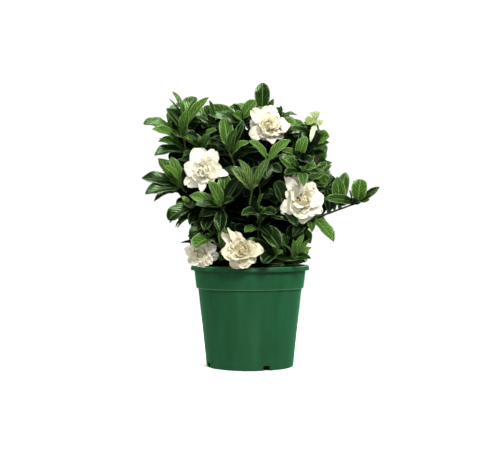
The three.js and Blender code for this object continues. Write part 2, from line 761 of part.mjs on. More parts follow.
// A flower's outer petals: from its foot to their tips, in two layers.
function outerPetals({ facing, radius, seat, centre, petals }, index) {
  return petals.map(([x, z, width], k) => {
    const back = OUTER.back[k % 2] + OUTER.vary * scatter(index, k, 8);
    const start = seat.clone().addScaledVector(facing, OUTER.layer * radius * (k % 2));
    const chord = seen([centre[0] + x, centre[1] + back, centre[2] + z]).sub(start);
    const out = chord.clone().normalize();
    const face = facing.clone().addScaledVector(out, -facing.dot(out)).normalize();
    return { start, out, face, length: chord.length(), half: width / 2, cup: OUTER.cup };
  });
}

// Its inner petals: cupped blades that wind inwards round a small core.
function innerPetals(bloom, index) {
  const { facing, radius } = bloom;
  const [e1, e2] = across(facing);
  return Array.from({ length: PETALS.count }, (_, k) => {
    const share = k / (PETALS.count - 1);
    const blend = ([first, last]) => first + (last - first) * share;
    const turn = GOLDEN * k + PETALS.turn * index + PETALS.vary.turn * scatter(index, k, 5);
    const theta = radians(turn);
    const lean = radians(blend(PETALS.lean) + PETALS.vary.lean * scatter(index, k, 6));
    const outward = new THREE.Vector3()
      .addScaledVector(e1, Math.cos(theta))
      .addScaledVector(e2, Math.sin(theta));
    const out = new THREE.Vector3()
      .addScaledVector(outward, Math.sin(lean))
      .addScaledVector(facing, Math.cos(lean));
    const face = new THREE.Vector3()
      .addScaledVector(facing, Math.sin(lean))
      .addScaledVector(outward, -Math.cos(lean));
    return {
      start: bloom.seat.clone().addScaledVector(facing, blend(PETALS.seat) * radius),
      out,
      face,
      length: radius * blend(PETALS.long) * (1 + PETALS.vary.long * scatter(index, k, 7)),
      half: (radius * blend(PETALS.wide)) / 2,
      cup: blend(PETALS.cup),
    };
  });
}

function petal({ start, out, face, length, half, cup }, grow = 0) {
  const side = new THREE.Vector3().crossVectors(out, face);
  const rings = PETAL.stations.map((t, i) => {
    const curl = PETAL.sag * cup * length * (t * t - t);
    const rib = start.clone().addScaledVector(out, length * t).addScaledVector(face, curl);
    const wide = t === 0 ? 0 : half * PETAL.widths[i] + grow;
    return ringAcross(rib, side, face, wide, PETAL.rim * cup * wide, PETAL.thick / 2 + grow);
  });
  return solid(loft(rings));
}

// True where each edge of a body lies between two faces and no face is a line, to four decimals.
function isCleanBody(body) {
  const { vertProperties, triVerts } = body.getMesh();
  const corner = (i) => Array.from(vertProperties.slice(3 * i, 3 * i + 3), (x) => x.toFixed(4)).join();
  const edges = new Set();
  for (let i = 0; i < triVerts.length; i += 3) {
    const [a, b, c] = [corner(triVerts[i]), corner(triVerts[i + 1]), corner(triVerts[i + 2])];
    [a + ">" + b, b + ">" + c, c + ">" + a].forEach((edge) => edges.add(edge));
    if (a === b || b === c || c === a) return false;
  }
  return edges.size === triVerts.length;
}

// Joined solids as one body, with sealed hollows filled and loose scraps dropped. Slivers shorter
// than the first of these lengths that leaves a clean body are merged.
const SLIVERS = [0.2, 0.15, 0.25, 0.1, 0.3, 0.05];

function join(solids) {
  const whole = wasm.Manifold.union(solids).asOriginal();
  const bodies = SLIVERS.map((sliver) => largest(whole.simplify(sliver).decompose()));
  return bodies.find(isCleanBody) ?? bodies[0];
}

function largest(bodies) {
  return bodies.reduce((best, body) => (body.volume() > best.volume() ? body : best));
}

const group = new THREE.Group();
const finish = (color, roughness) => new THREE.MeshStandardMaterial({ color, roughness, metalness: 0 });
const FINISHES = {
  pot: finish(0x2e6141, 0.35),
  soil: finish(0x2b2118, 0.95),
  wood: finish(0x5d4c37, 0.85),
  leaf: finish(0x214d1c, 0.35),
  young: finish(0x8fae55, 0.4),
  petal: finish(0xf4f0e0, 0.55),
  calyx: finish(0x6d8f4a, 0.5),
};

function add(name, made, material) {
  const mesh = new THREE.Mesh(geometryOf(made), material);
  mesh.name = name;
  group.add(mesh);
}

// The woody stems' lines come first, because every shoot and flower hangs on one.
const lines = STEMS.map(stemCurve);
const wood = lines.map((line) => [solid(tube(line, STEM.foot, STEM.top, STEM.sides, STEM.steps))]);

function growTwig(stem, end, heading) {
  const curve = twigCurve(lines[stem], end, heading);
  wood[stem].push(solid(tube(curve, TWIG.root, TWIG.end, TWIG.sides, TWIG.steps)));
}

const names = Object.keys(SHOOTS);
const shoots = [...frontShoots(), ...crownShoots()];
const farName = (count) => "far_" + String(count).padStart(2, "0");
const owners = shoots.map((_, i) => "shoot_" + (names[i] ?? farName(i + 1 - names.length)));
const shootLines = shoots.map(({ base, tip, stem }) => {
  const line = new THREE.LineCurve3(base, tip);
  growTwig(stem, base, line.getTangent(0));
  return line;
});

// Each flower's stalk bends forward from the end of a twig to the calyx behind the flower.
const blooms = BLOOMS.map(({ stem, centre, faces, radius, petals }) => {
  const facing = new THREE.Vector3(...faces).normalize();
  const seat = seen(centre).addScaledVector(facing, -CORE.behind * radius);
  const front = seat.clone().addScaledVector(facing, -CORE.back - GAP);
  const back = front.clone().addScaledVector(facing, -CALYX.length);
  const bend = facing.clone().addScaledVector(UP, STALK.rise).normalize();
  const foot = back.clone().addScaledVector(bend, -STALK.length);
  growTwig(stem, foot, bend);
  return { facing, seat, front, back, foot, bend, radius, centre, petals };
});

const stems = wood.map(join);
stems.forEach((made, i) => place(made, "woody_stem_" + (i + 1), "wood"));

const pot = potSolid();
place(pot, "pot", "pot");
const holes = lines.map((line) => {
  const hole = tube(line, STEM.foot + 2 * GAP, STEM.top + 2 * GAP, STEM.sides, STEM.steps);
  const { position } = hole.attributes;
  for (let i = 0; i < STEM.sides; i++) position.setZ(i, position.getZ(i) - GAP);
  return solid(hole);
});
const soil = soilSolid(holes);
place(soil, "soil", "soil");

const calyxes = blooms.map(({ facing, front, back, foot, bend }, i) => {
  const cup = tube(new THREE.LineCurve3(back, front), CALYX.neck, CALYX.radius, CALYX.sides, 1);
  const start = foot.clone().addScaledVector(bend, GAP);
  const end = back.clone().addScaledVector(facing, STALK.sunk);
  const control = start.clone().lerp(end, STALK.rise).addScaledVector(bend, STALK.bow);
  const stalk = tube(bezier(start, control, end), STALK.root, STALK.end, STALK.sides, STALK.steps);
  const made = join([solid(cup), solid(stalk)]);
  place(made, "calyx_" + (i + 1), "calyx");
  return made;
});

const flowers = blooms.map((bloom, i) => {
  const { seat, facing } = bloom;
  const owner = "bloom_" + (i + 1);
  const solids = [...outerPetals(bloom, i), ...innerPetals(bloom, i)]
    .map((frame) => ({ made: petal(frame), probe: petal(frame, CLEAR) }))
    .filter(({ probe }) => !crosses(probe, (other) => other.owner !== owner))
    .map(({ made }) => made);
  const foot = seat.clone().addScaledVector(facing, -CORE.back);
  const head = seat.clone().addScaledVector(facing, CORE.length);
  const core = tube(new THREE.LineCurve3(foot, head), CORE.radius, CORE.top, CORE.sides, 1);
  const made = join([solid(core), ...solids]);
  place(made, owner, "bloom");
  return made;
});

// Shoot stalks, then the chosen leaves of every shoot, then the leaves that fill in
const pieces = shootLines.map((line, i) => {
  const stalk = tube(line, SHOOT.root, SHOOT.end, SHOOT.sides, 1, GAP / line.getLength());
  const made = solid(stalk);
  place(made, owners[i], "stalk");
  return [made];
});

function grow(leaves, i) {
  for (const leaf of leaves) {
    const made = clearLeaf(leaf, owners[i]);
    if (made) pieces[i].push(made);
  }
}

shoots.forEach((shoot, i) => {
  if (shoot.leaves) grow(chosenLeaves(shoot, shootLines[i]), i);
});
shoots.forEach((shoot, i) => {
  if (!shoot.leaves) grow(whorledLeaves(shoot, shootLines[i], i), i);
});
shoots.forEach((shoot, i) => {
  if (shoot.leaves && !shoot.young) grow(fillLeaves(shoot, shootLines[i], i), i);
});

add("pot", pot, FINISHES.pot);
add("soil", soil, FINISHES.soil);
stems.forEach((made, i) => add("woody_stem_" + (i + 1), made, FINISHES.wood));
flowers.forEach((made, i) => add("bloom_" + (i + 1), made, FINISHES.petal));
calyxes.forEach((made, i) => add("calyx_" + (i + 1), made, FINISHES.calyx));
pieces.forEach((solids, i) => {
  add(owners[i], join(solids), shoots[i].young ? FINISHES.young : FINISHES.leaf);
});

export default group;
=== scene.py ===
"""A potted gardenia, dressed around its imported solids.

Sizes are in millimetres, in the frame of the solids: the origin is the centre of the pot's
underside, the front faces -Y and +Z is up. They become metres when a mesh is made.
"""

from __future__ import annotations

import logging
import math
from abc import ABC, abstractmethod
from dataclasses import dataclass, field
from enum import Enum
from functools import cache

import bpy
import numpy as np
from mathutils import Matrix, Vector


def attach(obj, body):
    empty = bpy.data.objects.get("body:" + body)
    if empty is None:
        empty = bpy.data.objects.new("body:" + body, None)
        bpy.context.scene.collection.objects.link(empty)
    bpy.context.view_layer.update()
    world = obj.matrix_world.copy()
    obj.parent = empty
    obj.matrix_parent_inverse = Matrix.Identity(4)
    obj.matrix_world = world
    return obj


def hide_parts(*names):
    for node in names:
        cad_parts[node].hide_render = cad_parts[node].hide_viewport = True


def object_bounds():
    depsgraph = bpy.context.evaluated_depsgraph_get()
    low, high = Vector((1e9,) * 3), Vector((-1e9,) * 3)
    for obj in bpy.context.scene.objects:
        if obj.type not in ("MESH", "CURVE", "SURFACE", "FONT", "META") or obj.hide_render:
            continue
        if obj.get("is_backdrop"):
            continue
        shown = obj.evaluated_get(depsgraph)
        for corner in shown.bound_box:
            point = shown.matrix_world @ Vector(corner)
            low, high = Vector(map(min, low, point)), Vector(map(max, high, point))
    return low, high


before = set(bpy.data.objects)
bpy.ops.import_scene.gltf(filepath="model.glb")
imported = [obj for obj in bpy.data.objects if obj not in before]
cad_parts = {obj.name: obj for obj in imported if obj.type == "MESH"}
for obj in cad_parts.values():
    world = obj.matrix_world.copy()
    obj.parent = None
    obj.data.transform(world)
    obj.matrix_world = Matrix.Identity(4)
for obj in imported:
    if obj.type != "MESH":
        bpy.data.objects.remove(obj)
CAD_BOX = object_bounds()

log = logging.getLogger("gardenia")
Array = np.ndarray
Span = tuple[float, float]
Point = tuple[float, float, float]
Color = tuple[float, float, float, float]
Thing = bpy.types.Object
Tree = bpy.types.NodeTree
Socket = bpy.types.NodeSocket

MM = 0.001
UP = np.array([0.0, 0.0, 1.0])
TURN = 2 * math.pi
GOLDEN = 137.5
MATCH = 0.08
"""How near a node's corner must be to a blade's tip, in millimetres, for the blade to be there."""


class Slot(Enum):
    """The material slots."""

    POT = "pot"
    SOIL = "soil"
    BARK = "bark"
    LEAF = "leaf"
    YOUNG = "young_leaf"
    PETAL = "petal"
    CALYX = "calyx"


class Hue(Enum):
    """How old a shoot's leaves look."""

    GROWN = "grown"
    FRESH = "fresh"
    PALE = "pale"


@dataclass(frozen=True)
class Eye:
    """Where the front view is seen from: its distance and height, its tilt and its lens."""

    distance: float = 1600.0
    height: float = 207.0
    pitch: float = -0.65
    lens: float = 82.8
    sensor: float = 36.0

    def carried(self, places: Array | Point) -> Array:
        """Measured places, carried along the line of sight to where they truly are.

        Args:
            places: how far across, how deep, and how high each looks on the pot's middle plane.

        Returns:
            Their true places: across and up grow with the depth, as 1 + depth / distance.
        """
        at = np.array(places, float)
        level = self.height * UP
        true = level + (at - level) * (1 + at[..., 1:2] / self.distance)
        true[..., 1] = at[..., 1]
        return true

    def flattened(self, points: Array) -> Array:
        """How far across and how high true places look, the reverse of carried."""
        level = np.array([0.0, self.height])
        return level + (points[:, [0, 2]] - level) / (1 + points[:, 1:2] / self.distance)


EYE = Eye()


@dataclass(frozen=True)
class Shoot:
    """A leafy shoot of the front, as measured in the front view.

    Each leaf is its place on the stalk, its tip, its width and any turn about its midrib. The
    leaves at the places in lit are painted a brighter green, as painted light, by as much as glow
    says.
    """

    name: str
    stem: int
    start: Point
    end: Point
    leaves: tuple[tuple[float, ...], ...]
    hue: Hue = Hue.GROWN
    # The leaves picked here are painted lighter: painted light.
    lit: tuple[int, ...] = ()
    glow: float = 0.7

    @property
    def depth(self) -> float:
        """How far inside a hollow of the bush its middle looks: 1 in the midst of it, 0 outside.

        Returns:
            0 for a shoot in the light, and up to 1 in the dark.
        """
        x, z = (np.array(self.start) + np.array(self.end))[[0, 2]] / 2
        off = min(math.hypot(x - a, z - c) / radius for a, c, radius in HOLLOWS)
        return float(1 - smooth(off, 0.5, 1.1))


@dataclass(frozen=True)
class Flower:
    """A flower: the woody stem that bears it, its centre, the way it faces, its radius, and its age
    and painted shade.

    Each outer petal is how far across and up from the centre the front view shows its tip, and
    its width. Each anther is how far across and up it shows.
    """

    stem: int
    centre: Point
    faces: Point
    radius: float
    # How creamy and dark its petals are painted: partly its age, partly painted shade and light.
    age: float
    petals: tuple[Point, ...]
    anthers: tuple[tuple[float, float], ...] = ()


STEMS = (
    ((-24, -14), (-66, -30, 262)),
    ((4, -28), (-6, -48, 262)),
    ((27, -8), (74, -28, 250)),
    ((16, 22), (44, 42, 268)),
    ((-18, 22), (-42, 40, 266)),
)
"""Each woody stem's foot on the soil, and its top as the front view shows it."""

FLOWERS = (
    Flower(0, (-64, -80, 272), (-0.25, -1, 0.12), 28, 0.0, (
        (-14, 30, 24), (14, 26, 17), (20, 6, 20), (32, -5, 11), (9, -15, 18), (-5, -28, 10),
        (-24, -20, 18), (-26, 5, 20),
    )),
    Flower(1, (26, -58, 334), (0.05, -1, 0.35), 27, 0.35, (
        (-1, 27, 22), (29, 2, 22), (21, -16, 15), (7, -24, 16), (-10, -19, 16), (-25, -13, 17),
        (-25, 4, 16), (-21, 21, 16),
    )),
    Flower(2, (74, -88, 231), (0.1, -1, 0.1), 31, 0.1, (
        (-8, 33, 18), (14, 23, 22), (28, 5, 26), (25, -17, 22), (2, -33, 24), (-29, -15, 21),
        (-22, 12, 12), (-23, 31, 13),
    ), ((-9, 3), (-3, 8), (-6, -1))),
    Flower(1, (-11, -94, 160), (0.05, -1, 0.12), 27, 0.8, (
        (-10, 26, 14), (28, 1, 18), (18, -16, 14), (4, -23, 20), (-14, -23, 20), (-27, -3, 22),
        (-28, 23, 10), (-19, 31, 8),
    )),
    Flower(0, (-69, -66, 156), (-0.3, -1, -0.1), 23, 0.2, (
        (-12, 25, 14), (19, 15, 17), (23, -5, 16), (15, -14, 15), (2, -19, 18), (-14, -13, 18),
        (-21, 3, 20),
    )),
)

OUTLINE = np.array([
    (-72, 138), (-88, 158), (-84, 180), (-76, 196), (-112, 206), (-108, 226), (-98, 236),
    (-140, 244), (-146, 258), (-132, 270), (-126, 284), (-128, 310), (-126, 322), (-138, 332),
    (-146, 340), (-112, 344), (-112, 370), (-104, 380), (-90, 372), (-70, 374), (-56, 364),
    (-40, 362), (-10, 366), (4, 362), (8, 385), (16, 392), (26, 384), (28, 366), (42, 360),
    (60, 350), (84, 352), (92, 348), (102, 336), (112, 322), (104, 310), (96, 300), (84, 292),
    (92, 282), (108, 276), (112, 268), (134, 262), (158, 252), (168, 244), (150, 232),
    (118, 226), (112, 214), (94, 206), (84, 196), (82, 180), (84, 165), (88, 152), (88, 142),
], float)
# The bush's outline in the front view, across and up, read off the photograph.
"""The bush's outline in the front view, across and up, read off the photograph by hand."""

SHOOTS = (
    Shoot("top_left", 0, (-90, -24, 302), (-93, -34, 342), (
        (1, -107, -38, 382, 10, 35), (0.8, -113, -44, 371, 8, 50), (0.4, -85, -56, 357, 14),
        (0.7, -56, -44, 373, 13), (1, -77, -22, 375, 18), (0.6, -115, -34, 359, 15, 10),
        (0.2, -103, -60, 337, 9, 30),
    ), lit=(2, 3)),
    Shoot("left_high", 0, (-84, -14, 290), (-109, -22, 330), (
        (1, -148, -34, 337, 18, 5), (0.55, -134, -44, 331, 15), (0.3, -128, -44, 311, 16),
        (0.15, -121, -58, 293, 18),
    ), lit=(1,)),
    Shoot("left_inner", 0, (-64, -30, 276), (-68, -44, 310), (
        (1, -88, -70, 322, 15), (1, -48, -72, 324, 15), (0.9, -66, -74, 340, 13),
        (0.6, -42, -68, 298, 15), (0.4, -94, -60, 286, 15),
    ), lit=(1,)),
    Shoot("left_mid", 0, (-70, -28, 226), (-104, -46, 254), (
        (1, -151, -52, 260, 18, -10), (0.8, -146, -66, 238, 20), (0.6, -134, -60, 231, 12, 30),
        (0.9, -119, -76, 278, 13), (1, -128, -44, 288, 16), (0.5, -92, -52, 277, 14),
        (0.8, -108, -56, 290, 13),
    ), lit=(3, 6)),
    Shoot("left_low", 0, (-54, -32, 198), (-83, -54, 226), (
        (0.9, -114, -66, 205, 19), (0.75, -104, -58, 193, 8, 50), (0.5, -84, -78, 199, 15),
    )),
    Shoot("low_left", 0, (-40, -36, 178), (-56, -62, 208), (
        (0.9, -82, -74, 177, 17), (1, -64, -88, 190, 13),
    )),
    Shoot("rim_left", 0, (-38, -36, 158), (-52, -66, 178), (
        (1, -78, -96, 166, 19), (0.8, -34, -84, 196, 14), (0.5, -97, -42, 171, 6),
    ), lit=(0,), glow=0.25),
    Shoot("centre_left", 1, (-24, -46, 196), (-41, -84, 222), (
        (1, -57, -100, 257, 15), (0.8, -43, -76, 270, 17), (0.9, -14, -100, 264, 14),
        (1, -21, -106, 234, 12), (0.95, -42, -98, 186, 15), (0.7, -70, -88, 210, 15),
        (1, -78, -98, 222, 13), (0.9, -82, -88, 241, 15, -10),
    ), lit=(0, 1, 7)),
    Shoot("new_growth", 1, (-4, -60, 206), (3, -98, 243), (
        (1, -27, -108, 274, 13), (1, -13, -122, 287, 10, 10), (1, 24, -112, 290, 11),
        (0.95, 12, -126, 262, 8),
    ), Hue.FRESH, lit=(0, 1, 2, 3), glow=0.45),
    Shoot("centre_inner", 1, (13, -44, 212), (14, -60, 248), (
        (1, -36, -72, 276, 15), (1, 34, -72, 272, 15), (0.9, 4, -64, 294, 14),
        (0.6, -34, -66, 242, 15), (0.6, 34, -60, 240, 15),
    )),
    Shoot("centre_high", 1, (-16, -46, 266), (-30, -68, 300), (
        (0.7, -3, -86, 312, 14), (1, -60, -80, 317, 10, 40), (0.9, -20, -86, 330, 12),
        (1, -37, -58, 345, 17), (1, -3, -72, 338, 9, 30),
    ), lit=(0, 3), glow=0.5),
    Shoot("top_centre", 1, (-14, -28, 314), (-12, -34, 342), (
        (1, 8, -40, 369, 15, 10), (0.8, -20, -44, 366, 11, 20), (1, -31, -54, 361, 14),
        (0.6, -45, -46, 352, 14),
    ), lit=(0, 2), glow=0.6),
    Shoot("top_mid_left", 4, (-50, -8, 312), (-54, -18, 340), (
        (1, -64, -28, 361, 13), (1, -42, -24, 363, 13), (0.8, -52, -30, 374, 9, 50),
        (0.6, -76, -38, 345, 13), (0.5, -34, -44, 334, 14), (0.3, -66, -54, 330, 15),
    ), lit=(0, 1, 3), glow=0.4),
    Shoot("crest", 3, (14, -10, 322), (17, -20, 352), (
        (1, 18, -30, 393, 19), (0.8, 33, -22, 371, 8, 40), (0.8, 3, -26, 372, 8, 40),
    ), lit=(0,), glow=0.15),
    Shoot("top_right", 3, (34, -16, 320), (38, -26, 344), (
        (1, 65, -40, 350, 10, -20), (1, 43, -32, 362, 6, 40), (0.7, 66, -48, 334, 12),
        (0.8, 56, -12, 348, 13),
    ), lit=(2,)),
    Shoot("right_high", 2, (82, -20, 284), (90, -34, 316), (
        (1, 55, -56, 331, 12), (1, 98, -40, 343, 13), (0.9, 117, -48, 329, 18),
        (0.6, 111, -54, 310, 11, 20), (0.3, 104, -46, 296, 10, 30), (0.7, 80, -60, 340, 12, 20),
    ), lit=(2,)),
    Shoot("pale_tip", 2, (97, -36, 318), (92, -54, 343), (
        (1, 79, -66, 336, 14), (1, 84, -74, 311, 6), (0.95, 98, -64, 334, 11),
        (1, 88, -48, 353, 12),
    ), Hue.PALE, lit=(1,)),
    Shoot("right_centre", 2, (64, -40, 260), (68, -60, 288), (
        (1, 78, -72, 318, 15), (0.8, 92, -72, 284, 13), (0.9, 44, -84, 300, 14),
        (0.7, 95, -62, 268, 11, 20), (0.95, 58, -72, 326, 13, 10),
    ), lit=(0, 2), glow=0.5),
    Shoot("centre", 1, (16, -46, 254), (25, -74, 284), (
        (1, 56, -88, 314, 14), (1, 0, -90, 314, 12, 10), (0.8, 44, -94, 268, 14),
        (0.7, 2, -90, 262, 14), (0.9, 22, -104, 262, 14),
    ), lit=(0, 1)),
    Shoot("right_mid", 2, (76, -26, 234), (92, -42, 260), (
        (1, 99, -72, 273, 15), (1, 108, -44, 285, 16), (0.8, 107, -72, 252, 13),
        (0.6, 116, -34, 262, 14), (0.9, 70, -50, 288, 14),
    ), lit=(0, 4), glow=0.4),
    Shoot("over_right_bloom", 2, (66, -48, 252), (72, -80, 270), (
        (1, 75, -116, 249, 12), (1, 92, -94, 276, 13), (0.9, 48, -98, 264, 14),
    ), lit=(1,)),
    Shoot("right_far", 2, (98, -20, 208), (153, -34, 228), (
        (1, 154, -42, 259, 19), (1, 180, -40, 249, 9, 30), (0.95, 104, -56, 233, 12, -20),
        (0.85, 122, -56, 219, 11, 10), (0.55, 128, -46, 263, 17), (0.5, 133, -18, 270, 16),
        (0.25, 106, -44, 250, 15),
    ), lit=(0, 4), glow=0.45),
    Shoot("right_bloom_side", 2, (44, -44, 206), (45, -74, 226), (
        (1, 38, -94, 254, 19), (0.9, 66, -92, 193, 13), (0.8, 28, -92, 204, 14),
    )),
    Shoot("low_right", 2, (68, -34, 188), (88, -58, 207), (
        (1, 117, -78, 174, 15), (0.9, 86, -90, 187, 10), (0.6, 104, -54, 210, 12),
        (0.7, 60, -82, 178, 14),
    ), lit=(0, 1), glow=0.45),
    Shoot("centre_right", 1, (8, -52, 194), (16, -82, 214), (
        (1, 35, -106, 210, 14), (1, 19, -110, 240, 9, 20), (0.9, -12, -104, 210, 14),
        (0.6, 44, -76, 224, 14),
    ), lit=(1,)),
    Shoot("centre_low", 1, (8, -46, 170), (14, -74, 198), (
        (1, 41, -98, 163, 20), (0.8, -8, -90, 184, 13), (0.9, 30, -102, 180, 13),
    ), lit=(1,)),
    Shoot("rim_right", 2, (44, -32, 144), (59, -62, 150), (
        (1, 48, -80, 168, 7, 20), (1, 71, -80, 186, 8), (1, 83, -74, 177, 6, 40),
        (0.9, 85, -66, 165, 8, 20), (0.95, 86, -72, 148, 11, 10), (1, 58, -90, 180, 8),
        (0.7, 38, -76, 188, 11),
    ), lit=(0, 1, 2, 3, 5)),
    Shoot("rim_middle", 1, (22, -42, 146), (36, -74, 156), (
        (1, 18, -98, 144, 16), (0.9, 46, -92, 184, 12), (0.5, 8, -62, 182, 13),
    ), lit=(1,)),
    Shoot("between_blooms", 1, (-20, -34, 146), (-38, -66, 164), (
        (1, -42, -84, 200, 12), (0.9, -41, -76, 147, 9), (0.6, -14, -72, 186, 13),
    ), lit=(0,)),
)

# Painted shade: the leaves of shoots in these hollows are painted darker.
HOLLOWS = ((8, 222, 66), (-66, 200, 44))
"""Where the front view shows the bush dark: across, up and how wide."""

SWINGS = (
    (8, 0), (-8, 0), (0, 8), (0, -8), (16, 6), (-16, 6), (16, -6), (-16, -6), (0, 18), (0, -18),
    (28, 0), (-28, 0), (28, 14), (-28, 14), (28, -14), (-28, -14), (0, 32), (0, -32),
)
"""The bends a leaf may have taken to clear its neighbours: swing and lift in degrees."""
SCALES = (1.0, 0.88, 0.76)
BENDS = np.array([(0, 0, 1)] + [(a, b, s) for s in SCALES for a, b in SWINGS], float)


def scatter(a: int, b: Array | int, c: int) -> Array:
    """A repeatable number from -1 to 1 for each set of three whole numbers."""
    wave = np.sin(a * 12.9898 + b * 78.233 + c * 37.719 + 4.1) * 43758.5453
    return 2 * (wave - np.floor(wave)) - 1


def unit(v: Array) -> Array:
    """Vectors scaled to length one."""
    return v / np.maximum(np.linalg.norm(v, axis=-1, keepdims=True), 1e-9)


def squared(v: Array, along: Array) -> Array:
    """Vectors less their part along unit ones, scaled to length one."""
    return unit(v - along * np.sum(along * v, axis=-1, keepdims=True))


def turned(v: Array, axis: Array, angle: Array) -> Array:
    """Vectors turned about unit axes by angles in radians, by Rodrigues' formula.

    Args:
        v: the vectors.
        axis: their axes.
        angle: their angles.

    Returns:
        The turned vectors.
    """
    cos, sin = np.cos(angle)[..., None], np.sin(angle)[..., None]
    along = np.sum(axis * v, axis=-1, keepdims=True)
    return v * cos + np.cross(axis, v) * sin + axis * along * (1 - cos)


def stacked(*arrays: Array | float) -> Array:
    """Arrays brought to one shape and stacked along a new last axis."""
    return np.stack(np.broadcast_arrays(*arrays), axis=-1)


def spokes(count: int) -> Array:
    """Points spread evenly round the unit circle."""
    angle = TURN * np.arange(count) / count
    return stacked(np.cos(angle), np.sin(angle), 0.0)


def sides_of(direction: Array) -> tuple[Array, Array]:
    """Two unit vectors across a direction, the first of them level.

    Args:
        direction: what they lie across.

    Returns:
        The two vectors.
    """
    side = np.cross(UP, direction)
    if np.linalg.norm(side) < 0.05:
        side = np.array([1.0, 0.0, 0.0])
    side = unit(side)
    return side, unit(np.cross(direction, side))


def opened(
    axis: Array, turn: Array, lean: Array | float, sides: tuple[Array, Array] | None = None,
) -> tuple[Array, Array]:
    """Ways that open from an axis like petals.

    Args:
        axis: the unit vector they open from, or one for each.
        turn: how far each is turned round it, in degrees.
        lean: how far each leans from it, in degrees.
        sides: two unit vectors across it, where they aren't the usual ones.

    Returns:
        The ways, outward*sin(lean) + axis*cos(lean), and the ways their inner faces look,
        axis*sin(lean) - outward*cos(lean).
    """
    turn, lean = np.radians(turn)[:, None], np.radians(lean + 0 * turn)[:, None]
    e1, e2 = sides or sides_of(axis)
    outward, sin, cos = e1 * np.cos(turn) + e2 * np.sin(turn), np.sin(lean), np.cos(lean)
    return outward * sin + axis * cos, axis * sin - outward * cos


def smooth(x: Array | float, low: float, high: float) -> Array:
    """The smooth step from 0 at low to 1 at high: 3s² - 2s³ of the clipped share s."""
    s = np.clip((x - low) / (high - low), 0, 1)
    return s * s * (3 - 2 * s)


def ripple(p: Array, size: float, seed: int) -> Array:
    """Smooth noise from -1 to 1: the mean of sines along seeded directions.

    Args:
        p: points, the last axis holding their three coordinates.
        size: the length of its waves, in the points' unit.
        seed: which noise.

    Returns:
        One number for each point.
    """
    rng = np.random.default_rng(seed)
    waves = unit(rng.normal(size=(7, 3))) * rng.uniform(0.7, 1.9, (7, 1)) * TURN / size
    return np.sin(p @ waves.T + rng.uniform(0, TURN, 7)).mean(axis=-1) * 1.9


def within(points: Array, outline: Array = OUTLINE) -> Array:
    """Which points an outline holds: a line to their right crosses it an odd number of times.

    Args:
        points: places in the front view, across and up.
        outline: its corners in order.

    Returns:
        A mask of the points.
    """
    a, b = outline, np.roll(outline, -1, axis=0)
    x, y = points[:, :1], points[:, 1:]
    spans = (a[:, 1] > y) != (b[:, 1] > y)
    rise = np.where(b[:, 1] == a[:, 1], 1e-9, b[:, 1] - a[:, 1])
    crossing = a[:, 0] + (y - a[:, 1]) * (b[:, 0] - a[:, 0]) / rise
    return ((spans & (x < crossing)).sum(axis=1) % 2).astype(bool)


def bezier(a: Array, b: Array, c: Array, t: Array) -> Array:
    """Points of the quadratic curve (1-t)²a + 2t(1-t)b + t²c."""
    t = t[:, None]
    return (1 - t) ** 2 * a + 2 * t * (1 - t) * b + t * t * c


def reach_of(line: Array) -> Array:
    """How far along a line of points each of them is."""
    return np.r_[0, np.cumsum(np.linalg.norm(np.diff(line, axis=0), axis=1))]


def linked(name: str, data: bpy.types.ID) -> Thing:
    """A new object of the scene that holds some data.

    Args:
        name: its name.
        data: a mesh, a lamp's or a camera's data.

    Returns:
        The object.
    """
    thing = bpy.data.objects.new(name, data)
    bpy.context.scene.collection.objects.link(thing)
    return thing


def meshed(name: str, points: Array, faces: list[list[int]]) -> Thing:
    """A new object at the origin with a mesh of points, in millimetres, and faces.

    Args:
        name: its name.
        points: its corners.
        faces: each face's corners, by number.

    Returns:
        The object.
    """
    mesh = bpy.data.meshes.new(name)
    mesh.from_pydata((points * MM).tolist(), [], faces)
    return linked(name, mesh)


@dataclass
class Surface:
    """Closed shells: corners with a pattern and a tone, and faces of four or three corners.

    A pattern is a place on the shell. After its corners, a face has its side, which is 0 above
    and 1 below, and which of the piece's finishes it takes.
    """

    points: Array
    pattern: Array
    tone: Array
    quads: Array
    tris: Array

    @staticmethod
    def joined(parts: list[Surface]) -> Surface:
        """Several surfaces as one.

        Args:
            parts: the surfaces, in order.

        Returns:
            The one surface.
        """
        starts = np.cumsum([0] + [len(p.points) for p in parts[:-1]])
        quads = [p.quads + np.r_[[s] * 4, 0, 0] for p, s in zip(parts, starts)]
        tris = [p.tris + np.r_[[s] * 3, 0, 0] for p, s in zip(parts, starts)]
        rows = ([getattr(p, name) for p in parts] for name in ("points", "pattern", "tone"))
        return Surface(*(np.concatenate(row) for row in (*rows, quads, tris)))

    @property
    def faces(self) -> list[list[int]]:
        """Each face's corners."""
        return self.quads[:, :4].tolist() + self.tris[:, :3].tolist()


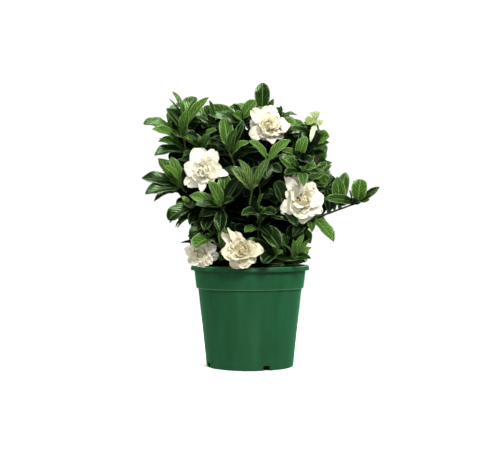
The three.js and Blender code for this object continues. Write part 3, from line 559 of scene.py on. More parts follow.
def shells(
    rings: Array, first: Array, last: Array, pattern: Array | None = None,
    tone: Array | float = 0.5, above: int | None = None, finish: int = 0,
) -> Surface:
    """Closed shells, each a run of rings with a point at either end.

    Args:
        rings: corners by shell, ring and place round the ring, ordered so that faces look out.
        first: each shell's point before its first ring.
        last: each shell's point after its last ring.
        pattern: each ring corner's two pattern numbers, alike on every shell, or nothing.
        tone: each shell's tone, or one for all.
        above: how many faces round the ring, from its start, are on the upper side, if not all.
        finish: which of the piece's finishes they take.

    Returns:
        The shells as one surface.
    """
    count, steps, size, _ = rings.shape
    ring, k = steps * size, np.arange(size)
    base = (np.arange(count) * (ring + 2))[:, None, None]
    turn, last_row = (k + 1) % size, ring - size

    def marked(corners: Array, place: Array) -> Array:
        """Every shell's faces from one shell's, with their side and finish."""
        marks = np.c_[place >= (above or size), np.full(len(place), finish)]
        return np.c_[(corners + base).reshape(-1, corners.shape[1]), np.tile(marks, (count, 1))]

    rows = (np.arange(steps - 1) * size)[:, None]
    near, after = (rows + k).ravel(), (rows + turn).ravel()
    quads = stacked(near, after, after + size, near + size)
    fans = stacked(ring, turn, k), stacked(ring + 1, last_row + k, last_row + turn)
    flat = np.zeros((ring, 2)) if pattern is None else pattern.reshape(-1, 2)
    rows = rings.reshape(count, ring, 3), first[:, None], last[:, None]
    return Surface(
        np.concatenate(rows, axis=1).reshape(-1, 3),
        np.tile(np.concatenate([flat, [[0.5, 0.0], [0.5, 1.0]]]), (count, 1)),
        np.repeat(np.broadcast_to(tone, count), ring + 2),
        marked(quads, near % size),
        marked(np.concatenate(fans), np.r_[k, k]),
    )


def tube(line: Array, radius: Array, sides: int, finish: int = 0, tone: float = 0.5) -> Surface:
    """A round tube along a line of points, closed at both ends.

    Each ring lies across the line at its point. Its first spoke is one lead vector with its part
    along the line taken off, so the tube doesn't twist.

    Args:
        line: the points of its axis.
        radius: its radius at each point, or at each point and spoke.
        sides: how many spokes a ring has.
        finish: which of the piece's finishes it takes.
        tone: its tone.

    Returns:
        The tube.
    """
    along = unit(np.gradient(line, axis=0))
    lead = sides_of(along[-1])[0]
    e1 = squared(lead, along)
    cos, sin, _ = spokes(sides).T[..., None]
    spoke = e1[:, None] * cos + np.cross(along, e1)[:, None] * sin
    wide = radius if radius.ndim == 2 else radius[:, None]
    rings = line[:, None] + spoke * wide[..., None]
    pattern = stacked(np.arange(sides) / sides, reach_of(line)[:, None] / 100)
    return shells(rings[None], line[:1], line[-1:], pattern, tone, finish=finish)


@dataclass
class Blades:
    """Leaves, petals or sepals, one a row: where they start, their chords, the way they look.

    The rest is half their width, their tone, how cupped they are, and a random phase.
    """

    start: Array
    chord: Array
    face: Array
    half: Array
    tone: Array
    cup: Array
    phase: Array

    @staticmethod
    def made(
        start: Array, chord: Array, face: Array, half: Array, tone: Array | float, key: int,
        cup: Array | float = 0.0,
    ) -> Blades:
        """Blades with their faces squared to their chords, and phases seeded by a key.

        Args:
            start: where each starts.
            chord: the way from there to its tip.
            face: roughly the way its upper side looks.
            half: half its width.
            tone: its tone, or one for all.
            key: the seed of their phases.
            cup: how cupped it is, or one for all.

        Returns:
            The blades.
        """
        none, phase = np.zeros(len(half)), np.random.default_rng(key).random(len(half))
        face = squared(face, unit(chord))
        return Blades(start, chord, face, half, none + tone, none + cup, phase)

    def some(self, which: object) -> Blades:
        """The blades that a mask or another index picks."""
        return Blades(*(getattr(self, name)[which] for name in self.__dataclass_fields__))

    def __len__(self) -> int:
        """How many blades there are."""
        return len(self.half)


@dataclass(frozen=True)
class BladeForm(ABC):
    """How a thin blade is shaped from its start, at v = 0, to its tip, at v = 1.

    Across it, u runs from -1 at one rim to 1 at the other. Arrays run over blades, then over the
    stations that v holds as a column, then over the places that u holds.
    """

    stations: int = 14
    across: int = 7
    arch: float = 0.09
    twist: float = 0.15
    even: float = 0.45
    ease: float = 1.8
    last: float = 0.992
    sunk: float = 0.2

    @abstractmethod
    def half(self, v: Array, b: Blades) -> Array:
        """Half the width at each station of each blade."""

    @abstractmethod
    def rise(self, u: Array, v: Array, w: Array, b: Blades) -> Array:
        """How far each place stands off the plane of the blade."""

    @abstractmethod
    def thick(self, u: Array, v: Array) -> Array:
        """Half the thickness at each place."""

    def slide(self, u: Array, v: Array, b: Blades) -> Array:
        """How far each place moves along the blade, as a share of its length: not at all."""
        return np.zeros_like(u * v)

    def line(self, v: Array, b: Blades) -> Array:
        """The midrib's height over the chord, as a share of the length: an even arch."""
        return 4 * self.arch * (v - v * v) + 0 * b.phase

    def surface(self, b: Blades, finish: int = 0) -> Surface:
        """The blades as closed shells.

        The stations crowd towards the tip. The midrib is the chord plus its arch along the face.
        Each ring runs over the upper side from rim to rim and back underneath, and turns a little
        about the chord towards the tip.

        Args:
            b: the blades.
            finish: which of the piece's finishes they take.

        Returns:
            Their surface.
        """
        s = np.linspace(0, 1, self.stations)[:, None]
        v = (self.even * s + (1 - self.even) * (1 - (1 - s) ** self.ease)) * self.last
        top = np.linspace(-1, 1, self.across)
        u, side = np.r_[top, top[-2:0:-1]], np.repeat([1, -1], [self.across, self.across - 2])
        tone, b = b.tone, b.some(np.s_[:, None, None])
        length, out, lift = np.linalg.norm(b.chord, axis=-1), unit(b.chord), self.line(v, b)
        face = unit(b.face - out * np.gradient(lift, v[:, 0], axis=1)[..., None])
        wide = np.cross(out, b.face)
        turn = (self.twist * (2 * b.phase - 1) * smooth(v, 0.2, 1.0))[..., None]
        cos, sin = np.cos(turn), np.sin(turn)
        wide, face = wide * cos + face * sin, face * cos - wide * sin
        w = self.half(v, b)
        off = self.rise(u, v, w, b) + side * self.thick(u, v)
        rings = b.start + b.chord * v[..., None] + b.face * (lift * length)[..., None]
        rings = rings + wide * (w * u)[..., None] + face * off[..., None]
        rings = rings + b.chord * self.slide(u, v, b)[..., None]
        end = self.line(np.ones((1, 1)), b) * length
        tip = b.start + b.chord + b.face * end[..., None]
        tip = tip + face[:, -1:] * self.rise(np.zeros(1), v[-1:], w[:, -1:], b)[..., None]
        first, last = (b.start - out * self.sunk)[:, 0, 0], tip[:, 0, 0]
        return shells(rings, first, last, stacked((u + 1) / 2, v), tone, self.across - 1, finish)


@dataclass(frozen=True)
class LeafForm(BladeForm):
    """An elliptic leaf on a short stalk, folded up from its midrib, with wavy rims and a tip."""

    fold: float = 28.0
    stalk: float = 0.07
    wave: float = 0.1
    waves: float = 2.6
    droop: float = 0.06
    taper: float = 0.2

    def line(self, v: Array, b: Blades) -> Array:
        """An even arch that droops by a share of v cubed, more on some leaves than on others."""
        return 4 * self.arch * (v - v * v) - self.droop * (2 * b.phase - 0.6) * v**3

    def half(self, v: Array, b: Blades) -> Array:
        """The outline (1 - |2s - 1|ⁿ)^k over a thin leaf stalk, with s = t^m.

        A narrow leaf has k = 0.8 and m = 1.12 and tapers to its tip. The broader a leaf is for its
        length, the blunter its tip and the further along its broadest place.

        Args:
            v: stations along the blade.
            b: the blades.

        Returns:
            Half the width at each station.
        """
        t = np.clip((v - self.stalk) / (1 - self.stalk), 0, 1)
        full = 2.0 + (3.7 * b.phase % 1.0)
        blunt = smooth(2 * b.half / np.linalg.norm(b.chord, axis=-1), 0.42, 0.56)
        body = (1 - np.abs(2 * t ** (1.12 + 0.4 * blunt) - 1) ** full) ** (0.8 - 0.25 * blunt)
        body = body * (1 - self.taper * (1 - blunt) * smooth(t, 0.78, 1.0))
        return np.maximum(b.half * body, 0.75 * (1 - smooth(v, 0.0, 0.5)) + 0.12)

    def rise(self, u: Array, v: Array, w: Array, b: Blades) -> Array:
        """The halves rise from the midrib and level out, and the rims wave along the leaf.

        Args:
            u: places across the blade.
            v: stations along the blade.
            w: half the width there.
            b: the blades.

        Returns:
            The heights.
        """
        a = np.abs(u)
        fold = math.sin(math.radians(self.fold)) * w * a * (1.6 - 0.6 * a)
        phase = TURN * (self.waves * v + b.phase + 0.35 * np.sign(u))
        return fold + self.wave * w * a**2 * np.sin(phase) * smooth(v, 0.1, 0.4)

    def thick(self, u: Array, v: Array) -> Array:
        """Nothing at the rims, a thin blade between, and a rounded stalk and midrib.

        Args:
            u: places across the blade.
            v: stations along the blade.

        Returns:
            Half the thickness at each place.
        """
        blade = 0.16 + 0.5 * (1 - smooth(v, 0.02, 0.16))
        rib = np.exp(-((u / 0.22) ** 2)) * (1 - v)
        return np.sqrt(np.clip(1 - u * u, 0, 1)) * blade + 0.22 * rib


@dataclass(frozen=True)
class PetalForm(BladeForm):
    """A broad petal with a rounded, ruffled end, cupped along and across."""

    stations: int = 13
    across: int = 11
    arch: float = 0.0
    twist: float = 0.6
    broad: float = 1.12
    broadest: float = 0.68
    ruffle: float = 0.13
    sag: float = 0.5
    reflex: float = 0.14
    lobes: float = 0.1

    def line(self, v: Array, b: Blades) -> Array:
        """The petal sags in its middle by its cup, and an open one rolls back at its end."""
        open_ = np.clip(1 - 1.6 * (b.cup - 0.25) / 0.45, -0.6, 1)
        return self.sag * b.cup * (v * v - v) - self.reflex * open_ * v**3.5

    def half(self, v: Array, b: Blades) -> Array:
        """A narrow claw that widens with a sine to its broadest, and closes as a flat ellipse.

        Args:
            v: stations along the blade.
            b: the blades.

        Returns:
            Half the width at each station.
        """
        wide = 0.2 + 0.8 * np.sin(math.pi / 2 * np.clip(v / self.broadest, 0, 1)) ** 1.15
        end = np.sqrt(np.clip(1 - (np.clip(v - self.broadest, 0, 1) / 0.322) ** 2.4, 0, 1))
        return self.broad * b.half * (wide * end)

    def rise(self, u: Array, v: Array, w: Array, b: Blades) -> Array:
        """The rims rise as the square of u; ruffles run along the rims and round the end.

        Args:
            u: places across the blade.
            v: stations along the blade.
            w: half the width there.
            b: the blades.

        Returns:
            The heights.
        """
        long_wave = np.sin(TURN * (2.2 * v + b.phase + 0.3 * np.sign(u)))
        short_wave = np.sin(TURN * (4.3 * v + 3 * b.phase))
        rim = u * u * smooth(v, 0.2, 0.8) * (long_wave + 0.5 * short_wave)
        end = 0.8 * smooth(v, 0.5, 1.0) * np.sin(TURN * (1.2 * u + 3 * b.phase))
        return 0.62 * b.cup * w * u * u + self.ruffle * b.half * (rim + end)

    def slide(self, u: Array, v: Array, b: Blades) -> Array:
        """The end is lobed: waves round it move it in and out along the petal.

        Args:
            u: places across the blade.
            v: stations along the blade.
            b: the blades.

        Returns:
            The moves, as shares of the length.
        """
        wave = np.cos(TURN * (1.15 * u + 2 * b.phase))
        wave = wave + 0.5 * np.cos(TURN * (2.1 * u + 5 * b.phase))
        return self.lobes * smooth(v, 0.45, 1.0) * (wave - 0.6) * np.abs(u) ** 0.5

    def thick(self, u: Array, v: Array) -> Array:
        """A thin sheet, thicker at the claw, that closes at its rims."""
        return np.sqrt(np.clip(1 - u**4, 0, 1)) * (0.22 + 0.4 * (1 - smooth(v, 0.0, 0.3)))


@dataclass(frozen=True)
class SepalForm(BladeForm):
    """A long narrow green sepal with a point."""

    stations: int = 8
    across: int = 3
    arch: float = -0.06

    def half(self, v: Array, b: Blades) -> Array:
        """It narrows evenly from its root to its point."""
        return b.half * (1 - 0.93 * v**1.4)

    def rise(self, u: Array, v: Array, w: Array, b: Blades) -> Array:
        """It is folded a little along its middle."""
        return 0.5 * w * np.abs(u)

    def thick(self, u: Array, v: Array) -> Array:
        """A firm strip that thins to its rims and its point."""
        return (1 - np.abs(u)) * 0.5 * (1 - 0.8 * v) + 0.05


FULL_LEAF = LeafForm()
PLAIN_LEAF = LeafForm(stations=9, across=5)
INNER_LEAF = LeafForm(stations=7, across=5)
PETAL = PetalForm()
INNER_PETAL = PetalForm(stations=10, across=9, ruffle=0.16, reflex=0.08, lobes=0.12)
SEPAL = SepalForm()


class Graph:
    """Short words for building a node tree. A value is a socket, a number or a colour."""

    def __init__(self, tree: Tree) -> None:
        """Keeps the tree."""
        self.tree = tree

    def feed(self, socket: Socket, value: object) -> None:
        """Links a socket to another one, or sets its value.

        Args:
            socket: the input.
            value: another socket, a number or a row of numbers.
        """
        if isinstance(value, Socket):
            self.tree.links.new(value, socket)
        else:
            socket.default_value = value

    def node(self, kind: str, inputs: dict | None = None, **settings: object) -> list[Socket]:
        """A new shader node.

        Args:
            kind: its type's name after ShaderNode.
            inputs: values for its inputs, by name or place.
            settings: values for its own settings.

        Returns:
            Its outputs.
        """
        made = self.tree.nodes.new("ShaderNode" + kind)
        for name, value in settings.items():
            setattr(made, name, value)
        for key, value in (inputs or {}).items():
            self.feed(made.inputs[key], value)
        return made.outputs

    def math(self, operation: str, *values: object) -> Socket:
        """One step of arithmetic."""
        return self.node("Math", dict(enumerate(values)), operation=operation)[0]

    def times(self, first: object, *others: object) -> Socket:
        """A product.

        Args:
            first: a value.
            others: the values it is multiplied by.

        Returns:
            The product.
        """
        for other in others:
            first = self.math("MULTIPLY", first, other)
        return first

    def scaled(self, value: object, slope: object, offset: object) -> Socket:
        """A value times a slope, plus an offset."""
        return self.math("MULTIPLY_ADD", value, slope, offset)

    def ramp(
        self, value: object, low: object, high: object, start: float = 0.0, end: float = 1.0,
    ) -> Socket:
        """A smooth step of a value from start at low to end at high."""
        given = {"Value": value, "From Min": low, "From Max": high, "To Min": start, "To Max": end}
        return self.node("MapRange", given, interpolation_type="SMOOTHSTEP")[0]

    def fade(self, value: object, low: float, high: float) -> Socket:
        """A smooth step of a value from 1 at low down to 0 at high."""
        return self.ramp(value, low, high, 1.0, 0.0)

    def mix(self, share: object, a: object, b: object) -> Socket:
        """A colour between two others."""
        return self.node("Mix", {0: share, 6: a, 7: b}, data_type="RGBA")[2]

    def noise(self, vector: Socket, scale: object, detail: float = 3.0) -> Socket:
        """Smooth noise from 0 to 1 at a place."""
        given = {"Vector": vector, "Scale": scale, "Detail": detail, "Roughness": 0.55}
        return self.node("TexNoise", given)["Fac"]

    def parts(self, vector: Socket) -> list[Socket]:
        """A vector's three numbers."""
        return list(self.node("SeparateXYZ", {0: vector}))

    def place(self, *stretch: float) -> Socket:
        """The place on the piece, in metres, with its three numbers stretched if they are to be."""
        place = self.node("TexCoord")["Object"]
        return self.vector(self.parts(place), stretch) if stretch else place

    def vector(self, numbers: list[Socket], stretch: tuple[float, ...]) -> Socket:
        """A vector of numbers, each times its stretch.

        Args:
            numbers: the three numbers, or fewer.
            stretch: what each is multiplied by.

        Returns:
            The vector.
        """
        pairs = zip(numbers, stretch)
        given = [n if by == 1 else self.times(n, by) for n, by in pairs]
        return self.node("CombineXYZ", dict(enumerate(given)))[0]

    def map(self, name: str) -> Socket:
        """One of the piece's own maps."""
        return self.node("UVMap", uv_map=name)["UV"]

    def bump(self, height: Socket, distance: float, strength: float = 1.0) -> Socket:
        """A normal from a height in units of a distance in metres."""
        return self.node("Bump", {"Height": height, "Distance": distance, "Strength": strength})[0]

    def group(self, tree: Tree, **inputs: object) -> list[Socket]:
        """The outputs of a shared group, whose inputs are given with underscores for spaces."""
        given = {name.replace("_", " "): value for name, value in inputs.items()}
        return self.node("Group", given, node_tree=tree)

    def shade(self, kind: str = "BSDF_PRINCIPLED", **values: object) -> None:
        """Feeds the tree's one shader of a kind, its inputs named with underscores for spaces.

        Args:
            kind: the shader's type.
            values: values for its inputs.
        """
        shader = next(n for n in self.tree.nodes if n.type == kind)
        for name, value in values.items():
            self.feed(shader.inputs[name.replace("_", " ")], value)


def new_group(
    name: str, inputs: dict[str, float | None], outputs: tuple[str, ...],
) -> tuple[Graph, dict[str, Socket], dict[str, Socket]]:
    """A new node group.

    Args:
        name: its name.
        inputs: its inputs by name: a number is a number's value, and None is a vector.
        outputs: the names of its outputs, which are numbers.

    Returns:
        Its graph, its input sockets and its output sockets by name.
    """
    tree = bpy.data.node_groups.new(name, "ShaderNodeTree")
    for key, value in inputs.items():
        kind = "NodeSocketVector" if value is None else "NodeSocketFloat"
        socket = tree.interface.new_socket(key, in_out="INPUT", socket_type=kind)
        if value is not None:
            socket.default_value = value
    for key in outputs:
        tree.interface.new_socket(key, in_out="OUTPUT", socket_type="NodeSocketFloat")
    source, sink = tree.nodes.new("NodeGroupInput"), tree.nodes.new("NodeGroupOutput")
    ends = source.outputs, sink.inputs
    return Graph(tree), *({s.name: s for s in sockets if s.name} for sockets in ends)


@cache
def veins() -> Tree:
    """Pinnate veins on a blade's pattern map.

    With a the distance from the midrib and v the place along the blade, the side veins lie where
    (v - slant*a - curve*a²) times their number is whole. Between two of them the blade swells.

    Returns:
        The group, which every leaf finish shares.
    """
    given = {"Pattern": None, "Pairs": 7.0, "Slant": 0.3, "Width": 0.42}
    g, given, out = new_group("pinnate_veins", given, ("Vein", "Midrib", "Margin", "Swell"))
    across_, along, _ = g.parts(given["Pattern"])
    a = g.math("ABSOLUTE", g.scaled(across_, 2.0, -1.0))
    slant = g.scaled(a, given["Slant"], g.times(a, a, 0.05))
    phase = g.times(g.math("SUBTRACT", along, slant), given["Pairs"])
    near = g.times(g.math("ABSOLUTE", g.math("SUBTRACT", g.math("FRACT", phase), 0.5)), 2.0)
    vein = g.ramp(near, g.math("SUBTRACT", 1.0, given["Width"]), 1.0)
    swell = g.math("SUBTRACT", 1.0, g.math("POWER", near, 2.0))
    g.feed(out["Vein"], g.times(vein, g.fade(a, 0.82, 0.97)))
    g.feed(out["Midrib"], g.fade(a, 0.03, 0.1))
    g.feed(out["Margin"], g.ramp(a, 0.84, 0.96))
    g.feed(out["Swell"], g.times(swell, g.fade(a, 0.9, 1.0)))
    return g.tree


@cache
def mottle() -> Tree:
    """Two sizes of soft noise on a piece: wide patches and fine grain.

    Returns:
        The group, which the finishes share.
    """
    given = {"Place": None, "Patch Scale": 60.0, "Grain Scale": 900.0}
    g, given, out = new_group("mottle", given, ("Patch", "Grain"))
    patch = g.noise(given["Place"], given["Patch Scale"], 2.0)
    g.feed(out["Patch"], g.ramp(patch, 0.3, 0.7))
    g.feed(out["Grain"], g.noise(given["Place"], given["Grain Scale"], 4.0))
    return g.tree


def srgb(*bits: int) -> Color:
    """A colour's linear light from its three 8-bit numbers."""
    shares = (bit / 255 for bit in bits)
    return *(c / 12.92 if c <= 0.04045 else ((c + 0.055) / 1.055) ** 2.4 for c in shares), 1.0


@dataclass(frozen=True)
class Finish(ABC):
    """A material with its colours and how rough it is."""

    name: str
    rough: float = 0.5

    @cache
    def material(self) -> bpy.types.Material:
        """The material, built the first time it is asked for.

        Returns:
            The material.
        """
        made = bpy.data.materials.new(self.name)
        made.use_nodes = True
        g = Graph(made.node_tree)
        g.shade(Roughness=self.rough)
        self.dress(g)
        return made

    @abstractmethod
    def dress(self, g: Graph) -> None:
        """Feeds the shader."""


@dataclass(frozen=True)
class LeafFinish(Finish):
    """A glossy leaf with pale veins, matt and paler below, and pale rims that are partly its margin
    and partly a painted highlight.
    """

    rough: float = 0.31
    dark: Color = srgb(8, 24, 6)
    light: Color = srgb(66, 107, 32)
    vein: Color = srgb(140, 172, 96)
    # Partly the leaf's paler margin, partly a painted highlight along its edge.
    rim: Color = srgb(160, 184, 120)
    below: Color = srgb(88, 120, 54)
    gloss: float = 0.44
    tint: Color = (0.6, 1.0, 0.45, 1.0)
    ribs: float = 0.7
    rib_width: float = 0.42
    relief: float = 0.0002

    def dress(self, g: Graph) -> None:
        """Colours by tone and patches, then the veins, the rims and the underside. Tone is partly
        random and partly painted light and shade, and the rims are partly a painted highlight.

        Args:
            g: the graph of the material's tree.
        """
        tone, side, _ = g.parts(g.map("trait"))
        v = g.group(veins(), Pattern=g.map("pattern"), Width=self.rib_width)
        m = g.group(mottle(), Place=g.place())
        shown, plain = g.scaled(tone, 0.9, 0.08), g.scaled(tone, 0.5, 0.4)
        color = g.mix(g.scaled(tone, 0.8, g.times(m["Patch"], 0.14)), self.dark, self.light)
        for share, over in (
            (g.times(v["Vein"], self.ribs, shown), self.vein),
            (g.times(v["Midrib"], 0.8, plain), self.vein),
            (g.times(v["Margin"], 0.75, plain), self.rim),
            (g.times(side, shown, 0.9), self.below),
        ):
            color = g.mix(share, color, over)
        height = g.math("SUBTRACT", v["Swell"], g.times(v["Midrib"], 0.8))
        g.shade(
            Base_Color=color,
            Roughness=g.scaled(side, 0.25, g.scaled(m["Grain"], 0.12, self.rough - 0.06)),
            Normal=g.bump(g.scaled(m["Grain"], 0.12, height), self.relief),
            Specular_IOR_Level=self.gloss,
            Specular_Tint=self.tint,
            Subsurface_Weight=0.06,
            Subsurface_Radius=(0.002, 0.004, 0.001),
            Subsurface_Scale=1.0,
        )


@dataclass(frozen=True)
class PetalFinish(Finish):
    """A cream-white petal with faint lines, yellower and darker at its foot and in the heart:
    partly its own colour, partly painted shade and warm painted light.
    """

    rough: float = 0.55
    pale: Color = srgb(244, 240, 218)
    # A darker cream: partly the petals' own yellowing with age and at the foot, partly painted
    # shade.
    cream_and_shade: Color = srgb(200, 191, 148)
    # The heart's yellow: partly the flower's own colour, partly painted warm light between its
    # petals.
    heart: Color = srgb(222, 200, 132)

    def dress(self, g: Graph) -> None:
        """Colours by the place along the petal and its tone, which is 1 in the heart and grows with
        the flower's age and painted shade.

        Args:
            g: the graph of the material's tree.
        """
        across_, along, _ = g.parts(g.map("pattern"))
        tone = g.parts(g.map("trait"))[0]
        m = g.group(mottle(), Place=g.place(), Grain_Scale=1400.0)
        foot = g.fade(along, 0.05, 0.6)
        color = g.mix(g.scaled(foot, 0.6, g.times(tone, 0.7)), self.pale, self.cream_and_shade)
        lines = g.noise(g.vector([across_, along], (26.0, 2.5)), 1.0, 2.0)
        g.shade(
            Base_Color=g.mix(g.times(foot, tone, 0.8), color, self.heart),
            Normal=g.bump(g.scaled(m["Grain"], 0.25, lines), 0.0003, 0.5),
            Subsurface_Weight=0.4,
            Subsurface_Radius=(0.003, 0.003, 0.003),
            Subsurface_Scale=1.0,
            Sheen_Weight=0.15,
        )


@dataclass(frozen=True)
class StalkFinish(Finish):
    """A green stalk that browns in patches, with fine lines along it."""

    green: Color = srgb(84, 108, 54)
    brown: Color = srgb(92, 78, 48)

    def dress(self, g: Graph) -> None:
        """Colours by patches of noise.

        Args:
            g: the graph of the material's tree.
        """
        m = g.group(mottle(), Place=g.place(), Patch_Scale=70.0, Grain_Scale=800.0)
        color = g.mix(g.times(m["Patch"], 0.6), self.green, self.brown)
        g.shade(Base_Color=color, Normal=g.bump(m["Grain"], 0.0005, 0.7))


@dataclass(frozen=True)
class BarkFinish(Finish):
    """Grey-brown bark with fissures along the stem."""

    rough: float = 0.85
    dark: Color = srgb(52, 40, 28)
    light: Color = srgb(122, 106, 84)

    def dress(self, g: Graph) -> None:
        """Colours and heights from noise drawn out along the stem.

        Args:
            g: the graph of the material's tree.
        """
        fissure = g.noise(g.place(1, 1, 0.25), 900.0, 5.0)
        m = g.group(mottle(), Place=g.place(), Patch_Scale=120.0)
        share = g.times(g.ramp(fissure, 0.35, 0.65), g.scaled(m["Patch"], 0.5, 0.5))
        g.shade(Base_Color=g.mix(share, self.dark, self.light), Normal=g.bump(fissure, 0.0012))


@dataclass(frozen=True)
class SoilFinish(Finish):
    """Dark moist potting soil with pale specks."""

    rough: float = 0.95
    dark: Color = srgb(26, 19, 13)
    light: Color = srgb(74, 56, 38)

    def dress(self, g: Graph) -> None:
        """Crumbs from cells and noise, browner by tone.

        Args:
            g: the graph of the material's tree.
        """
        tone = g.parts(g.map("trait"))[0]
        cells = g.node("TexVoronoi", {"Vector": g.place(), "Scale": 320.0})["Distance"]
        m = g.group(mottle(), Place=g.place(), Patch_Scale=40.0, Grain_Scale=700.0)
        share = g.times(g.math("ADD", tone, m["Grain"]), g.scaled(m["Patch"], 0.4, 0.3))
        normal = g.bump(g.scaled(cells, -1.0, m["Grain"]), 0.002)
        g.shade(Base_Color=g.mix(share, self.dark, self.light), Normal=normal)


@dataclass(frozen=True)
class PotFinish(Finish):
    """Moulded green plastic, semi-gloss, with upright flow marks, scuffs, and pale painted
    highlights on the rim and the collar's lower lip.
    """

    rough: float = 0.34
    green: Color = srgb(26, 73, 43)
    pale: Color = srgb(34, 90, 56)
    dust: Color = srgb(80, 124, 92)
    glow: Color = srgb(80, 200, 130)
    gloss: float = 0.24
    # The pale colour of painted highlights along the rim and the collar's lower lip.
    edge: Color = srgb(120, 180, 142)
    edges: tuple[tuple[float, float], ...] = ((0.1085, 0.1098), (0.1392, 0.141))
    highlight_blur: float = 0.0005
    highlight_share: float = 0.18

    def dress(self, g: Graph) -> None:
        """Patches drawn out upright, painted highlight bands, dust near the foot, and a fine
        moulded grain.

        Args:
            g: the graph of the material's tree.
        """
        z = g.parts(g.place())[2]
        flow = g.noise(g.place(1, 1, 0.12), 60.0)
        m = g.group(mottle(), Place=g.place(), Patch_Scale=35.0, Grain_Scale=1600.0)
        color = g.mix(g.ramp(flow, 0.35, 0.75, 0.0, 0.5), self.green, self.pale)
        # Painted highlights: pale bands at the heights where the collar's lip and the rim catch the
        # light.
        for low, high in self.edges:
            highlight_band = g.ramp(z, low - self.highlight_blur, low, 0.0, self.highlight_share)
            color = g.mix(g.times(highlight_band, g.fade(z, high, high + self.highlight_blur)), color, self.edge)
        scuff = g.times(g.fade(z, 0.0, 0.03), g.ramp(m["Grain"], 0.5, 0.7))
        height = g.scaled(flow, 0.7, g.times(m["Grain"], 0.25))
        g.shade(
            Base_Color=g.mix(g.times(scuff, 0.35), color, self.dust),
            Roughness=g.scaled(flow, 0.14, g.scaled(scuff, 0.2, self.rough - 0.07)),
            Normal=g.bump(height, 0.0004),
            Specular_IOR_Level=self.gloss,
            Sheen_Weight=0.6,
            Sheen_Roughness=0.3,
            Sheen_Tint=self.glow,
        )


LEAF = LeafFinish("gardenia_leaf")
# A shaded copy of the leaf finish: painted shade, nearly black, for the leaves inside and behind
# the bush.
SHADED_LEAF = LeafFinish(
    "shaded_leaf", rough=0.6, dark=srgb(1, 5, 1), light=srgb(20, 44, 10), vein=srgb(28, 54, 16),
    rim=srgb(40, 66, 26), below=srgb(22, 42, 12), gloss=0.08, relief=0.0003,
)
YOUNG_LEAF = LeafFinish(
    "fresh_leaf", rough=0.4, dark=srgb(30, 60, 18), light=srgb(88, 126, 44),
    vein=srgb(190, 210, 132), rim=srgb(166, 186, 120), below=srgb(110, 140, 72), ribs=2.4,
    rib_width=0.5, relief=0.0008,
)
PALE_LEAF = LeafFinish(
    "pale_leaf", rough=0.5, dark=srgb(118, 132, 66), light=srgb(224, 236, 206),
    vein=srgb(176, 194, 134), rim=srgb(186, 202, 150), below=srgb(150, 172, 112), relief=0.0005,
)
LOOKS = {Hue.GROWN: LEAF, Hue.FRESH: YOUNG_LEAF, Hue.PALE: PALE_LEAF}
GREEN_STALK = StalkFinish("green_stalk")
CALYX_GREEN = StalkFinish("calyx_green", green=srgb(96, 128, 62), brown=srgb(70, 92, 42))
ANTHER_BROWN = StalkFinish("anther_brown", green=srgb(56, 38, 20), brown=srgb(30, 20, 12))
PETAL_CREAM = PetalFinish("petal_cream")
BARK = BarkFinish("grey_bark")
SOIL_DARK = SoilFinish("potting_soil")
POT_GREEN = PotFinish("pot_green")


@dataclass
class Piece:
    """One finished piece: its surfaces, its finishes, its slot, and the nodes it stands for."""

    name: str
    surfaces: list[Surface]
    finishes: list[Finish]
    slot: Slot
    replaces: tuple[str, ...] = ()
    sharp: float = 62.0

    def mesh(self) -> Thing:
        """Makes the object at the origin, with its pattern and trait maps and its materials.

        Returns:
            The object.
        """
        s = Surface.joined(self.surfaces)
        thing = meshed(self.name, s.points, s.faces)
        mesh = thing.data
        corners = np.empty(len(mesh.loops), np.int32)
        mesh.loops.foreach_get("vertex_index", corners)
        under = np.r_[np.repeat(s.quads[:, 4], 4), np.repeat(s.tris[:, 3], 3)]
        trait = np.c_[s.tone[corners], under]
        for name, values in (("pattern", s.pattern[corners]), ("trait", trait)):
            layer = mesh.uv_layers.new(name=name)
            layer.data.foreach_set("uv", values.astype(np.float32).ravel())
        finish = np.r_[s.quads[:, 5], s.tris[:, 4]].astype(np.int32)
        mesh.polygons.foreach_set("material_index", finish)
        mesh.polygons.foreach_set("use_smooth", np.ones(len(finish), bool))
        mesh.set_sharp_from_angle(angle=math.radians(self.sharp))
        mesh.validate()
        for look in self.finishes:
            mesh.materials.append(look.material())
        return thing

    def settle(self, thing: Thing) -> None:
        """Lets the made piece ride on the body, in the stead of its nodes.

        Args:
            thing: the piece's object.
        """
        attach(thing, "root")
        self.slot.value
        if self.replaces:
            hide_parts(*self.replaces)
        log.info("%s: %d faces", self.name, len(thing.data.polygons))

    def place(self) -> None:
        """Makes the piece and sets it on the frame."""
        self.settle(self.mesh())


